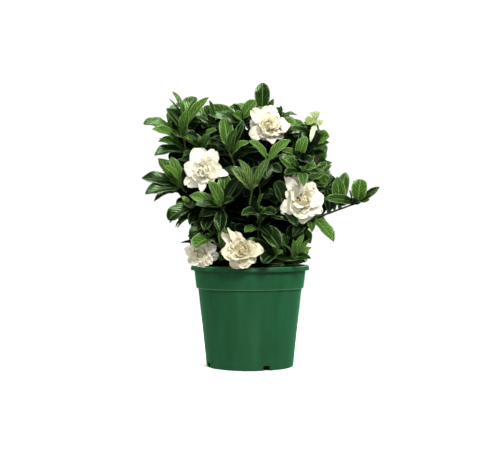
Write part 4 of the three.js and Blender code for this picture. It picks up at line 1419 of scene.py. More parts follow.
@dataclass
class Pot:
    """The moulded pot: a turned wall with a rolled rim, a collar and a step, and drain slots."""

    height: float = 140
    rim_radius: float = 82.5
    rim_height: float = 6.5
    rim_inner: float = 76.5
    collar_top: float = 77.3
    collar_bottom: float = 74.5
    step_height: float = 108
    body_top: float = 71.8
    body_bottom: float = 60.2
    wall: float = 1.7
    floor: float = 2
    floor_rise: float = 3
    pad_radius: float = 18
    slots: int = 4
    first_slot: float = -68
    slot_width: float = 10
    slot_height: float = 7
    slot_reach: float = 14
    shoulder: float = 2
    sides: int = 160

    @property
    def floor_top(self) -> float:
        """How high the inner floor lies."""
        return self.floor_rise + self.floor

    def corners(self) -> list[Point]:
        """The profile's corners from the pad to the inner floor: radius, height and rounding.

        Returns:
            The corners in order.
        """
        slope = (self.body_top - self.body_bottom) / self.step_height
        foot, neck = self.body_bottom - self.wall, self.height - self.rim_height
        return [
            (self.pad_radius, 0, 0.8),
            (self.pad_radius + 2, self.floor_rise, 0.8),
            (foot - 1, self.floor_rise, 0.4),
            (foot - 0.6, 0, 0.4),
            (self.body_bottom - 0.6, 0, 0.6),
            (self.body_bottom + slope * 1.5, 1.5, 1.2),
            (self.body_top, self.step_height - 0.2, 0.5),
            (self.collar_bottom, self.step_height + 0.9, 0.9),
            (self.collar_top, neck, 0.5),
            (self.rim_radius, neck, 1.8),
            (self.rim_radius - 0.8, self.height, 4.0),
            (self.rim_inner, self.height, 1.4),
            (self.collar_bottom - self.wall, self.step_height + 2, 1.0),
            (self.body_top - self.wall, self.step_height, 1.0),
            (foot + slope * self.floor_top, self.floor_top, 1.0),
        ]

    def profile(self) -> Array:
        """The profile as radius and height, each corner rounded by a short quadratic curve.

        Returns:
            The profile's points in order.
        """
        at = np.array([(0.0, 0.0, 0.0), *self.corners(), (0.0, self.floor_top, 0.0)])
        t = np.linspace(0, 1, 5)
        runs = []
        for before, here, after in zip(at[:-2], at[1:-1], at[2:]):
            back, on = before[:2] - here[:2], after[:2] - here[:2]
            reach = min(here[2], 0.48 * np.linalg.norm(back), 0.48 * np.linalg.norm(on))
            first, last = (here[:2] + unit(way) * reach for way in (back, on))
            runs.append(bezier(first, here[:2], last, t))
        rounded = np.concatenate(runs)
        long_ = np.linalg.norm(np.diff(rounded, axis=0), axis=1) > 12
        middle = (rounded[:-1] + rounded[1:])[long_] / 2
        return np.insert(rounded, np.flatnonzero(long_) + 1, middle, axis=0)

    def cutter(self) -> Thing:
        """The blocks that the drain slots take out of the foot: arches with rounded shoulders.

        Returns:
            The blocks as one object.
        """
        half, round_ = self.slot_width / 2, self.shoulder
        arc = np.linspace(0, math.pi / 2, 6)
        out, up = half + round_ * (np.cos(arc) - 1), self.slot_height + round_ * (np.sin(arc) - 1)
        right = stacked(out, up)
        outline = np.concatenate([[(half, -4)], right, right[::-1] * (-1, 1), [(-half, -4)]])[::-1]
        turn = np.radians(self.first_slot + 360 / self.slots * np.arange(self.slots))
        out = stacked(np.sin(turn), -np.cos(turn), 0.0)[:, None, None]
        side = stacked(np.cos(turn), np.sin(turn), 0.0)[:, None, None]
        depth = self.body_bottom + 4 - np.array([0, self.slot_reach])[:, None, None]
        rings = side * outline[:, :1] + UP * outline[:, 1:] + out * depth
        middles = rings.mean(axis=2)
        blocks = shells(rings, middles[:, 0], middles[:, 1])
        return meshed("slot_cutter", blocks.points, blocks.faces)

    def build(self) -> None:
        """Turns the profile round the axis, cuts the slots and sets the pot on the frame."""
        profile = self.profile()
        rings = profile[:, None, :1] * spokes(self.sides) + profile[:, None, 1:] * UP
        wall = shells(rings[None], 0 * UP[None], self.floor_top * UP[None])
        piece = Piece("moulded_pot", [wall], [POT_GREEN], Slot.POT, ("pot",), sharp=50.0)
        pot, tool = piece.mesh(), self.cutter()
        cut = pot.modifiers.new("slots", "BOOLEAN")
        cut.object, cut.operation, cut.solver = tool, "DIFFERENCE", "EXACT"
        bpy.context.view_layer.update()
        shown = pot.evaluated_get(bpy.context.evaluated_depsgraph_get())
        made = bpy.data.meshes.new_from_object(shown)
        pot.modifiers.clear()
        pot.data = made
        made.set_sharp_from_angle(angle=math.radians(piece.sharp))
        bpy.data.objects.remove(tool)
        piece.settle(pot)


@dataclass
class Soil:
    """The potting soil: a low crumbly mound that fills the pot to below its rim."""

    pot: Pot
    top: float = 124
    mound: float = 5
    sides: int = 96
    rows: int = 26
    crumbs: int = 260
    crumb_sides: int = 5
    strewn: float = 68

    def height(self, x: Array, y: Array) -> Array:
        """The mound's height: an even dome with waves and a fine rubble.

        Args:
            x: places across.
            y: places in depth.

        Returns:
            The height at each place.
        """
        place = stacked(x, y, 0.0)
        dome = self.top + self.mound * (1 - smooth(np.hypot(x, y) / 70, 0.2, 1.0))
        return dome + 1.4 * ripple(place, 34, 5) + 0.7 * ripple(place, 8, 6)

    def build(self) -> None:
        """The fill as one closed turned shell, with crumbs set into its top."""
        p, spoke = self.pot, spokes(self.sides)
        inner, bottom = p.collar_bottom - p.wall - 0.5, p.floor_top + 0.3
        side = [
            (p.body_bottom - p.wall - 0.4, bottom), (p.body_top - p.wall - 0.5, p.step_height),
            (inner, p.step_height + 2.5), (inner + 1.0, self.top - 2),
        ]
        top = spoke * np.linspace(inner - 0.2, 1.5, self.rows)[:, None, None]
        top[..., 2] = self.height(top[..., 0], top[..., 1])
        rings = np.concatenate([[spoke * r + UP * z for r, z in side], top])
        fill = shells(rings[None], bottom * UP[None], self.height(0.0, 0.0) * UP[None], tone=0.3)
        Piece("potting_soil", [fill, self.rubble()], [SOIL_DARK], Slot.SOIL, ("soil",)).place()

    def rubble(self) -> Surface:
        """Crumbs of bark and earth: small lumps of three uneven rings, half sunk in the mound.

        Returns:
            The crumbs.
        """
        rng, count = np.random.default_rng(11), self.crumbs
        around = rng.uniform(0, TURN, count)
        out = self.strewn * np.sqrt(rng.random(count))
        x, y = out * np.cos(around), out * np.sin(around)
        centre = stacked(x, y, self.height(x, y) + 0.3)
        size = rng.uniform(0.8, 2.6, (count, 1)) * rng.uniform(0.6, 1.5, (count, 3)) * (1, 1, 0.6)
        polar = np.radians([45, 95, 140])[:, None]
        x, y, _ = spokes(self.crumb_sides).T
        ball = stacked(np.sin(polar) * x, np.sin(polar) * y, -np.cos(polar))
        uneven = rng.uniform(0.75, 1.25, (count, 3, self.crumb_sides, 1))
        rings = centre[:, None, None] + ball * size[:, None, None] * uneven
        return shells(rings, centre - size * UP, centre + size * UP, tone=rng.random(count))


@dataclass
class Frames:
    """The plant's lines: woody stems, the twigs on them, and the stalks of its shoots."""

    soil_top: float = 124
    sunk: float = 24
    bow: float = 10
    twig_rise: float = 0.7
    twig_lowest: float = 0.3
    twig_step: float = 0.05
    twig_bow: float = 0.45
    twigs: list[list[Array]] = field(default_factory=lambda: [[] for _ in STEMS])

    def stem(self, index: int, t: Array) -> Array:
        """Points of a woody stem: a quadratic curve straight up from its foot, then leaning.

        Args:
            index: which woody stem.
            t: how far along it, from 0 to 1.

        Returns:
            The points.
        """
        (x, y), top = STEMS[index]
        end = EYE.carried(top)
        start = np.array([x, y, self.soil_top - self.sunk], float)
        control = np.array([x, y, (start[2] + end[2]) / 2 + self.bow])
        return bezier(start, control, end, t)

    def twig(self, index: int, end: Array, heading: Array) -> Array:
        """A twig from the place on its stem whose slope to its end is nearest the usual one.

        Args:
            index: which woody stem.
            end: where the twig ends.
            heading: the way it points there.

        Returns:
            Thirteen points along it.
        """
        at = np.arange(self.twig_lowest, 1 + self.twig_step / 2, self.twig_step)
        points = self.stem(index, np.minimum(at, 1))
        flat = np.linalg.norm(end[:2] - points[:, :2], axis=1)
        start = points[np.argmin(np.abs(end[2] - points[:, 2] - self.twig_rise * flat))]
        control = end - heading * self.twig_bow * np.linalg.norm(end - start)
        line = bezier(start, control, end, np.linspace(0, 1, 13))
        self.twigs[index].append(line)
        return line


@dataclass
class Wood:
    """The woody stems with their twigs, as round tapering tubes with bark and leaf scars."""

    frames: Frames
    foot: float = 4.2
    top: float = 2.2
    twig: Span = (2.0, 1.6)
    sides: int = 14
    scars: float = 17

    def limb(self, line: Array, start: float, end: float, seed: int) -> Surface:
        """A tube of bark: an even taper with swollen scars and ridges.

        Args:
            line: the points of its axis.
            start: its radius at the first of them.
            end: its radius at the last.
            seed: which ridges.

        Returns:
            The tube.
        """
        length = reach_of(line)
        plain = start + (end - start) * length / length[-1]
        scar = 0.1 * np.exp(-(((length % self.scars) - 8) / 2.2) ** 2)
        x, y, _ = 3 * spokes(self.sides).T
        ridges = 0.07 * ripple(stacked(x, y, length[:, None] * 0.3), 3.5, seed)
        return tube(line, plain[:, None] * (1 + scar[:, None] + ridges), self.sides)

    def build(self) -> None:
        """Each stem and its twigs as one piece."""
        for k, lines in enumerate(self.frames.twigs):
            line = self.frames.stem(k, np.linspace(0, 1, 40))
            stem = self.limb(line, self.foot, self.top, 20 + k)
            twigs = [self.limb(line, *self.twig, 40 + n) for n, line in enumerate(lines)]
            name, node = f"bark_stem_{k + 1}", f"woody_stem_{k + 1}"
            Piece(name, [stem, *twigs], [BARK], Slot.BARK, (node,)).place()


def at_corners(places: Array, node: str) -> Array:
    """Which places lie at a corner of a node, within MATCH.

    Args:
        places: rows of places.
        node: the node's name.

    Returns:
        A mask of the places.
    """
    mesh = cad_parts[node].data
    corners = np.empty(len(mesh.vertices) * 3, np.float32)
    mesh.vertices.foreach_get("co", corners)
    corners = corners.reshape(-1, 3).astype(float) / MM
    return np.linalg.norm(places[:, :, None] - corners, axis=-1).min(axis=-1) < MATCH


@dataclass
class Growth:
    """Leaves as they were meant to grow: from, to, the way their faces look, and their widths."""

    start: Array
    tip: Array
    face: Array
    width: Array

    def settled(self, node: str, tone: Array, key: int) -> Blades:
        """The leaves that a node holds, each with the bend that brings its tip to a corner.

        Args:
            node: the node's name.
            tone: each leaf's tone.
            key: the seed of their small differences.

        Returns:
            The leaves found, bent as they are in the node.
        """
        chord = self.tip - self.start
        out = unit(chord)
        face = squared(self.face, out)
        side = np.cross(out, face)[:, None]
        swing, lift = np.radians(BENDS[:, :2].T)[:, None]
        chords = turned(turned(chord[:, None], face[:, None], swing), side, lift) * BENDS[:, 2:]
        faces = turned(face[:, None], side, lift)
        found = at_corners(self.start[:, None] + chords, node)
        pick, rows = found.argmax(axis=1), np.arange(len(found))
        half = self.width * BENDS[pick, 2] / 2
        made = Blades.made(self.start, chords[rows, pick], faces[rows, pick], half, tone, key)
        return made.some(found.any(axis=1))


@dataclass(frozen=True)
class Stalk:
    """A shoot's straight stalk: its number, its two ends, and the points of its twig."""

    key: int
    base: Array
    tip: Array
    twig: Array

    @property
    def axis(self) -> Array:
        """The way it points."""
        return unit(self.tip - self.base)

    def at(self, share: Array) -> Array:
        """Places along it, by their shares of its length."""
        return self.base + (self.tip - self.base) * share[:, None]

    def grown(self, share: Array, turn: Array, lean: Array, size: Array) -> Growth:
        """Leaves that grow out of it and are drawn upwards a little.

        Args:
            share: each leaf's place along it.
            turn: its turn round the stalk in degrees.
            lean: how far it opens from the stalk in degrees.
            size: its length.

        Returns:
            The leaves.
        """
        out = opened(self.axis, turn, lean)[0] + UP * 0.12
        start = self.at(share)
        face = np.broadcast_to(self.axis + UP * 0.5, start.shape)
        return Growth(start, start + unit(out) * size[:, None], face, size * 0.48)


def tones(seed: int, count: int, low: float, high: float) -> Array:
    """Seeded tones between two values: about two in three near the lower one, the rest high."""
    draw = np.random.default_rng(100 + seed).random(count)
    return low + (high - low) * (0.35 * draw + 0.65 * smooth(draw, 0.55, 0.8))


@dataclass
class Foliage:
    """The leafy shoots: chosen leaves, the leaves that fill them, and small leaves inside."""

    frames: Frames
    face: Point = (0, -0.75, 0.65)
    widen: float = 1.12
    last: float = 0.94
    far_count: int = 13
    far_leaf: float = 47
    crown: tuple[Point, Point] = ((8, 6, 250), (118, 100, 92))
    inside: tuple[Point, Point] = ((2, 8, 246), (122, 92, 122))
    behind: float = -58
    girth: Span = (1.5, 1.1)
    covers: tuple[int, int] = (22, 40)
    dense_below: float = 180
    crest: float = 345
    crest_tones: Span = (0.22, 0.4)
    lit_from: float = 0.2
    low_count: int = 32
    low_band: Span = (134, 146)
    hang: float = 18
    low_reach: Span = (72, 86)
    low_height: Span = (143.5, 150)
    inner_counts: tuple[int, int] = (14, 18)
    inner_size: Span = (30, 43)
    inner_lean: Span = (48, 78)
    cover_size: Span = (42, 54)
    cover_lean: Span = (50, 88)
    bud_size: Span = (11, 17)

    def build(self) -> None:
        """Every shoot as one piece of stalk and leaves."""
        for key, shoot in enumerate(SHOOTS):
            self.front(key, shoot)
        for number in range(self.far_count):
            self.far(number)
        self.low()

    def stalk(self, key: int, stem: int, base: Array, tip: Array) -> Stalk:
        """A stalk, with the twig that joins it to its woody stem."""
        return Stalk(key, base, tip, self.frames.twig(stem, base, unit(tip - base)))

    def front(self, key: int, shoot: Shoot) -> None:
        """A shoot of the front, with the leaves that fill it and close the bush behind it.

        Args:
            key: the shoot's number.
            shoot: its measures.
        """
        stalk = self.stalk(key, shoot.stem, EYE.carried(shoot.start), EYE.carried(shoot.end))
        node, dark = f"shoot_{shoot.name}", shoot.depth
        # Painted shade darkens the leaves of a shoot in a hollow; the leaves in lit are painted
        # lighter, as painted light.
        tone = tones(key, len(shoot.leaves), -0.15, 0.22) - 0.25 * dark
        tone[list(shoot.lit)] += shoot.glow
        own = self.chosen(shoot, stalk).settled(node, tone, key)
        parts = [FULL_LEAF.surface(own), self.tube_of(stalk)]
        if shoot.hue is not Hue.PALE:
            parts.append(PLAIN_LEAF.surface(self.buds(stalk)))
        if shoot.hue is Hue.GROWN:
            fill = self.filling(stalk, 2 if len(shoot.leaves) >= 6 else 3)
            tone = tones(50 + key, len(fill.width), -0.1, 0.25) - 0.45 * dark
            cover = self.cover(stalk, self.covers[int(stalk.base[2] < self.dense_below)])
            # Painted shade and light: the leaves behind are darker in a hollow, those at the crest
            # are painted lit, and those below lit_from take the shaded finish.
            cover.tone -= 0.6 * dark
            top = (cover.start + cover.chord)[:, 2] > self.crest
            cover.tone[top] = cover.tone[top].clip(*self.crest_tones)
            lit = cover.tone > self.lit_from
            parts += [
                PLAIN_LEAF.surface(fill.settled(node, tone, 50 + key)),
                INNER_LEAF.surface(self.inner(stalk, self.inner_counts[0]), 2),
                PLAIN_LEAF.surface(cover.some(lit)),
                PLAIN_LEAF.surface(cover.some(~lit), 2),
            ]
        slot = Slot.LEAF if shoot.hue is Hue.GROWN else Slot.YOUNG
        finishes = [LOOKS[shoot.hue], GREEN_STALK, SHADED_LEAF]
        Piece(f"leaves_{shoot.name}", parts, finishes, slot, (node,)).place()
        log.info("%s: %d of %d leaves of its own", shoot.name, len(own), len(shoot.leaves))

    def far(self, number: int) -> None:
        """A shoot of the far side, set on the crown by the golden angle.

        Args:
            number: which of the far shoots.
        """
        rise = 0.9 - 1.56 * number / (self.far_count - 1)
        turn = math.radians((number * GOLDEN) % 200 - 10)
        flat = math.sqrt(1 - rise * rise)
        out = np.array([math.cos(turn) * flat, math.sin(turn) * flat, rise])
        end, heading = out * self.crown[1] + self.crown[0], unit(out + UP * 0.5)
        tip = end - heading * 0.4 * self.far_leaf
        stalk = self.stalk(len(SHOOTS) + number, 3 if tip[0] > 0 else 4, end - heading * 40, tip)
        growth = self.whorled(stalk, 2 + number % 2)
        tone = tones(stalk.key, len(growth.width), 0.1, 0.9)
        name = f"far_{number + 1:02d}"
        own = growth.settled(f"shoot_{name}", tone, stalk.key)
        parts = [
            FULL_LEAF.surface(own),
            self.tube_of(stalk),
            PLAIN_LEAF.surface(self.buds(stalk)),
            INNER_LEAF.surface(self.inner(stalk, self.inner_counts[1]), 2),
        ]
        finishes = [LEAF, GREEN_STALK, SHADED_LEAF]
        Piece(f"leaves_{name}", parts, finishes, Slot.LEAF, (f"shoot_{name}",)).place()
        log.info("%s: %d of %d leaves", name, len(own), len(tone))

    def low(self) -> None:
        """Leaves low on the woody stems, which close the bush above the pot's rim all round."""
        count, rng = self.low_count, np.random.default_rng(1700)
        reach = rng.uniform(*self.low_reach, (count, 1))
        tip = spokes(count) * reach + UP * rng.uniform(*self.low_height, (count, 1))
        stems = [self.frames.stem(k, np.linspace(0, 1, 90)) for k in range(len(STEMS))]
        feet = np.array([line[0, :2] for line in stems])
        near = np.linalg.norm(tip[:, None, :2] - feet, axis=-1).argmin(axis=1)
        start = np.empty((count, 3))
        for k, line in enumerate(stems):
            bare = line[(line[:, 2] > self.low_band[0]) & (line[:, 2] < self.low_band[1])]
            start[near == k] = bare[rng.integers(0, len(bare), (near == k).sum())]
        chord = tip - start
        face = np.array(self.face) + rng.normal(0, 0.3, chord.shape)
        half = np.linalg.norm(chord, axis=1) * 0.18
        made = Blades.made(start, chord, face, half, tones(400, count, -0.1, 0.6), 1710)
        part = PLAIN_LEAF.surface(made.some(self.beside_flowers(tip)))
        Piece("leaves_low", [part], [LEAF], Slot.LEAF).place()

    def chosen(self, shoot: Shoot, stalk: Stalk) -> Growth:
        """A front shoot's own leaves, each turned about its midrib if it is to be.

        Args:
            shoot: the shoot's measures.
            stalk: its stalk.

        Returns:
            The leaves, in the order of its table.
        """
        rows = np.array([(*leaf, 0)[:6] for leaf in shoot.leaves], float)
        start, end = stalk.at(rows[:, 0] * self.last), EYE.carried(rows[:, 1:4])
        out = unit(end - start)
        face = turned(np.broadcast_to(self.face, out.shape), out, np.radians(rows[:, 5]))
        return Growth(start, end, face, rows[:, 4] * self.widen)

    def filling(self, stalk: Stalk, count: int) -> Growth:
        """The small leaves that wind round a front shoot below its own.

        Args:
            stalk: the shoot's stalk.
            count: how many leaves.

        Returns:
            The leaves.
        """
        k = np.arange(count)
        lean = 78 + 10 * scatter(stalk.key, k, 2)
        size = 43 * (1 + 0.1 * scatter(stalk.key, k, 3))
        return stalk.grown(0.75 - 0.6 * k / (count - 1), GOLDEN * k + 60 * stalk.key, lean, size)

    def whorled(self, stalk: Stalk, per_whorl: int) -> Growth:
        """The leaves of a far shoot, in three whorls that close and shrink towards its end.

        Args:
            stalk: the shoot's stalk.
            per_whorl: how many leaves the second and third whorl have. The first has three.

        Returns:
            The leaves.
        """
        counts = [3, per_whorl, per_whorl]
        whorl = np.repeat([0, 1, 2], counts)
        k = np.concatenate([np.arange(n) for n in counts])
        rise, key = whorl / 2, whorl * 5 + k
        turn = 47 * stalk.key + 90 * whorl + 360 / np.repeat(counts, counts) * k
        turn = turn + 14 * scatter(stalk.key, key, 1)
        lean = 80 - 36 * rise + 8 * scatter(stalk.key, key, 2)
        size = self.far_leaf * (1 - 0.2 * rise) * (1 + 0.1 * scatter(stalk.key, key, 3))
        return stalk.grown(0.3 + 0.64 * rise, turn, lean, size)

    def inner(self, stalk: Stalk, count: int) -> Blades:
        """Small dark leaves along a twig, kept inside the crown and behind its front; they take the
        shaded finish, painted shade.

        Args:
            stalk: the stalk that the twig bears.
            count: how many leaves are tried.

        Returns:
            Those that are kept.
        """
        rng, line = np.random.default_rng(700 + stalk.key), stalk.twig
        at = np.linspace(0.25, 0.98, count) * (len(line) - 1)
        low = np.floor(at).astype(int).clip(0, len(line) - 2)
        part = (at - low)[:, None]
        start = line[low] * (1 - part) + line[low + 1] * part
        axis = unit(line[low + 1] - line[low])
        side = unit(np.cross(axis, UP + 0.01))
        turn = GOLDEN * np.arange(count) + 90 * rng.random()
        lean = rng.uniform(*self.inner_lean, count)
        out = opened(axis, turn, lean, (side, np.cross(axis, side)))[0]
        size = rng.uniform(*self.inner_size, count)
        chord, face = unit(out + UP * 0.15) * size[:, None], axis + UP * 0.6
        tone = rng.uniform(-0.15, 0.15, count)
        made = Blades.made(start, chord, face, size * 0.25, tone, 900 + stalk.key)
        middle, radii = np.array(self.inside, float)
        tip = start + chord
        kept = (((tip - middle) / radii) ** 2).sum(axis=1) < 1
        return made.some(kept & (tip[:, 1] > self.behind) & self.clear(made, 1.06))

    def cover(self, stalk: Stalk, count: int) -> Blades:
        """Leaves behind a front shoot's own, which close the bush within its outline.

        Args:
            stalk: the shoot's stalk.
            count: how many leaves are tried.

        Returns:
            Those whose middles and tips look to be inside the outline.
        """
        rng = np.random.default_rng(1300 + stalk.key)
        line = np.concatenate([stalk.twig[6:-1], stalk.at(np.linspace(0, 0.9, 6))])
        start = line[rng.integers(0, len(line), count)]
        turn = GOLDEN * np.arange(count) + 360 * rng.random()
        out = opened(stalk.axis, turn, rng.uniform(*self.cover_lean, count))[0]
        out[:, 1] = 0.15 + 0.45 * np.abs(out[:, 1])
        size = rng.uniform(*self.cover_size, count)
        face = np.array(self.face) + rng.normal(0, 0.35, (count, 3))
        chord = unit(out) * size[:, None]
        tone = tones(200 + stalk.key, count, -0.15, 0.4)
        made = Blades.made(start, chord, face, size * 0.21, tone, 1500 + stalk.key)
        return made.some(self.clear(made, 0.6, 1.06))

    def clear(self, b: Blades, *shares: float) -> Array:
        """Which leaves hang little, leave the flowers bare, and look inside the outline.

        Args:
            b: the leaves.
            shares: the places along each leaf that are to be inside the outline.

        Returns:
            A mask.
        """
        kept = (b.chord[:, 2] > -self.hang) & self.beside_flowers(b.start + b.chord)
        for share in shares:
            kept &= within(EYE.flattened(b.start + b.chord * share))
        return kept

    def beside_flowers(self, tips: Array, margin: float = 4, behind: float = 26) -> Array:
        """Which tips don't stand in front of a flower.

        Args:
            tips: the tips of leaves.
            margin: how far from a flower's edge they stay.
            behind: how far behind a flower's middle they lie free of it.

        Returns:
            A mask of the tips.
        """
        off = tips[:, None] - EYE.carried([flower.centre for flower in FLOWERS])
        radii = np.array([flower.radius + margin for flower in FLOWERS])
        beside = np.hypot(off[..., 0], off[..., 2]) > radii
        return (beside | (off[..., 1] > behind)).all(axis=1)

    def buds(self, stalk: Stalk) -> Blades:
        """The pair of small folded leaves that ends a stalk.

        Args:
            stalk: the shoot's stalk.

        Returns:
            The two leaves.
        """
        rng, axis = np.random.default_rng(300 + stalk.key), stalk.axis
        side = sides_of(axis)[0] * [[1.0], [-1.0]]
        size = rng.uniform(*self.bud_size, (2, 1))
        chord = unit(axis + side * rng.uniform(0.25, 0.5, (2, 1))) * size
        start = np.repeat(stalk.tip[None] - axis, 2, axis=0)
        tone, half = np.array([0.9, 1.0]), size[:, 0] * 0.2
        return Blades.made(start, chord, axis * 0.3 - side, half, tone, 500 + stalk.key)

    def tube_of(self, stalk: Stalk) -> Surface:
        """A stalk's tube, swollen a little where leaves grow.

        Args:
            stalk: the shoot's stalk.

        Returns:
            The tube.
        """
        t = np.linspace(0, 1, 12)
        radius = self.girth[0] + (self.girth[1] - self.girth[0]) * t + 0.12 * np.cos(t * 22)
        return tube(stalk.at(t), radius, 8, 1)


@dataclass(frozen=True)
class Seat:
    """A flower in its place: its number, its measures, the middle of its foot, and its facing."""

    key: int
    flower: Flower
    foot: Array
    facing: Array


@dataclass
class Blooms:
    """The double flowers with their green calyxes."""

    frames: Frames
    behind: float = 0.3
    core_back: float = 2.6
    gap: float = 0.3
    calyx_length: float = 8
    calyx_sides: int = 18
    stalk_length: float = 12
    stalk_rise: float = 0.6
    stalk_radius: float = 1.35
    back: Span = (5, -2)
    layer: float = 0.06
    outer_cup: float = 0.25
    petals: int = 5
    skirts: int = 7
    hearts: int = 8
    sepals: int = 6
    sepal_size: Span = (9, 13)
    skirt_lean: Span = (48, 76)
    skirt_size: Span = (0.6, 0.85)
    skirt_half: Span = (0.26, 0.38)
    skirt_rise: Span = (0.02, 0.1)
    skirt_tone: Span = (0, 0.25)
    skirt_cup: Span = (0.2, 0.5)
    anther: tuple[float, ...] = (0.3, 0.3, 0.3, 0.3, 0.3, 0.5, 1.3, 1.6, 0.9)

    def build(self) -> None:
        """Each flower and each calyx as a piece."""
        for key, flower in enumerate(FLOWERS):
            facing = unit(np.array(flower.faces, float))
            foot = EYE.carried(flower.centre) - facing * self.behind * flower.radius
            seat = Seat(key, flower, foot, facing)
            self.flower(seat)
            self.calyx(seat)

    def flower(self, seat: Seat) -> None:
        """The petals in their layers round a bud, and the anthers.

        Args:
            seat: the flower.
        """
        outer, winding = self.outer(seat), self.winding(seat)
        parts = [PETAL.surface(petals) for petals in (outer, winding, self.skirt(seat))]
        parts += [INNER_PETAL.surface(self.heart(seat)), self.bud(seat), *self.anthers(seat)]
        name, node = f"flower_{seat.key + 1}", f"bloom_{seat.key + 1}"
        Piece(name, parts, [PETAL_CREAM, ANTHER_BROWN], Slot.PETAL, (node,)).place()
        count = len(outer), len(seat.flower.petals), len(winding), self.petals
        log.info("%s: %d of %d outer petals, %d of %d inner ones", name, *count)

    def held(self, seat: Seat, b: Blades) -> Blades:
        """The petals whose ends are corners of the flower's node.

        Args:
            seat: the flower.
            b: the petals as they were meant.

        Returns:
            Those the node has.
        """
        wide, end = (b.half * 0.55)[:, None], b.start + b.chord
        side = np.cross(unit(b.chord), b.face) * wide
        rim = end + b.face * (0.6 * b.cup)[:, None] * wide
        ends = np.stack([end + b.face * 0.6, end - b.face * 0.6, rim + side, rim - side], axis=1)
        return b.some(at_corners(ends, f"bloom_{seat.key + 1}").any(axis=1))

    def outer(self, seat: Seat) -> Blades:
        """The outer petals that the node holds, in two layers, from the foot to their tips.

        Args:
            seat: the flower.

        Returns:
            The petals found.
        """
        flower, x, z, width = seat.flower, *np.array(seat.flower.petals, float).T
        layer = np.arange(len(x)) % 2
        back = np.array(self.back)[layer] + 2 * scatter(seat.key, np.arange(len(x)), 8)
        tips = EYE.carried(np.array(flower.centre) + stacked(x, back, z))
        start = seat.foot + seat.facing * (self.layer * flower.radius * layer)[:, None]
        chord, key = tips - start, 60 + seat.key
        made = Blades.made(start, chord, seat.facing, width / 2, flower.age, key, self.outer_cup)
        return self.held(seat, made)

    def ring(
        self, seat: Seat, turn: Array, lean: Array, size: Array, half: Array, rise: Array,
        tone: Array, cup: Array, key: int,
    ) -> Blades:
        """Petals that open round a flower's axis, their measures as shares of its radius.

        Args:
            seat: the flower.
            turn: each petal's turn round the axis in degrees.
            lean: how far it leans from the axis in degrees.
            size: its length.
            half: half its width.
            rise: how far up the axis it starts.
            tone: its tone, before the flower's age and painted shade are added.
            cup: how cupped it is.
            key: the seed of the petals' small differences.

        Returns:
            The petals.
        """
        radius, facing = seat.flower.radius, seat.facing
        out, face = opened(facing, turn, lean)
        start = seat.foot + facing * (radius * rise)[:, None]
        chord, tone = out * (radius * size)[:, None], tone + seat.flower.age
        return Blades.made(start, chord, face, radius * half, tone, key + seat.key, cup)

    def winding(self, seat: Seat) -> Blades:
        """The inner petals that the node holds, winding inwards by the golden angle.

        Args:
            seat: the flower.

        Returns:
            The petals found.
        """
        i, k = seat.key, np.arange(self.petals)
        s = k / (self.petals - 1)
        turn, lean = GOLDEN * k + 40 * i + 6 * scatter(i, k, 5), 60 - 48 * s + 4 * scatter(i, k, 6)
        size, half = (0.74 - 0.32 * s) * (1 + 0.07 * scatter(i, k, 7)), 0.34 - 0.13 * s
        rise, tone, cup = 0.1 + 0.08 * s, 0.2 + 0.4 * s, 0.4 + 0.3 * s
        return self.held(seat, self.ring(seat, turn, lean, size, half, rise, tone, cup, 70))

    def skirt(self, seat: Seat) -> Blades:
        """Further outer petals between the others, ragged in length and lean.

        Args:
            seat: the flower.

        Returns:
            The petals.
        """
        count, draw = self.skirts, np.random.default_rng(180 + seat.key).uniform
        turn = 360 * (np.arange(count) + draw(-0.3, 0.3, count)) / count
        spans = self.skirt_lean, self.skirt_size, self.skirt_half, self.skirt_rise
        spans += self.skirt_tone, self.skirt_cup
        return self.ring(seat, turn, *(draw(*span, count) for span in spans), 190)

    def heart(self, seat: Seat) -> Blades:
        """The small upright petals crowded in the heart, between the others.

        Args:
            seat: the flower.

        Returns:
            The petals.
        """
        count, draw = self.hearts, np.random.default_rng(80 + seat.key).uniform
        s = np.linspace(0, 1, count)
        turn = GOLDEN * (np.arange(count) + 0.5) + 40 * seat.key
        lean = 64 - 50 * s + draw(-13, 13, count)
        size, half = (0.72 - 0.3 * s) * draw(0.85, 1.1, count), 0.28 - 0.12 * s
        rise, tone, cup = 0.04 + 0.14 * s, 0.3 + 0.4 * s, 0.5 + 0.3 * s
        return self.ring(seat, turn, lean, size, half, rise, tone, cup, 90)

    def bud(self, seat: Seat) -> Surface:
        """The petals still wound up in the middle: a dome with folds that wind round it.

        Each of the three folds swells evenly and then falls back to the next one's start.

        Args:
            seat: the flower.

        Returns:
            The dome.
        """
        t, sides, radius = np.linspace(0, 1, 22), 48, seat.flower.radius
        line = seat.foot + seat.facing * (t * 0.62 * radius - self.core_back)[:, None]
        fold = (3 * np.arange(sides) / sides + 1.4 * t[:, None] ** 0.7) % 1.0
        wide = radius * (0.05 + 0.21 * np.sin(math.pi * t**1.25) ** 0.8)
        folded = wide[:, None] * (0.72 + 0.4 * smooth(fold, 0.0, 1.15))
        return tube(line, folded, sides, tone=0.4 + seat.flower.age)

    def anthers(self, seat: Seat) -> list[Surface]:
        """The brown anthers, each at the end of a thin thread from the middle.

        Args:
            seat: the flower.

        Returns:
            A tube for each.
        """
        made, t, flower = [], np.linspace(0, 1, len(self.anther)), seat.flower
        for x, z in flower.anthers:
            end = EYE.carried(np.array(flower.centre) + (x, -8, z))
            start = seat.foot + seat.facing * 0.25 * flower.radius
            line = bezier(start, (start + end) / 2 + seat.facing * 4, end, t)
            made.append(tube(line, np.array(self.anther), 6, 1))
        return made

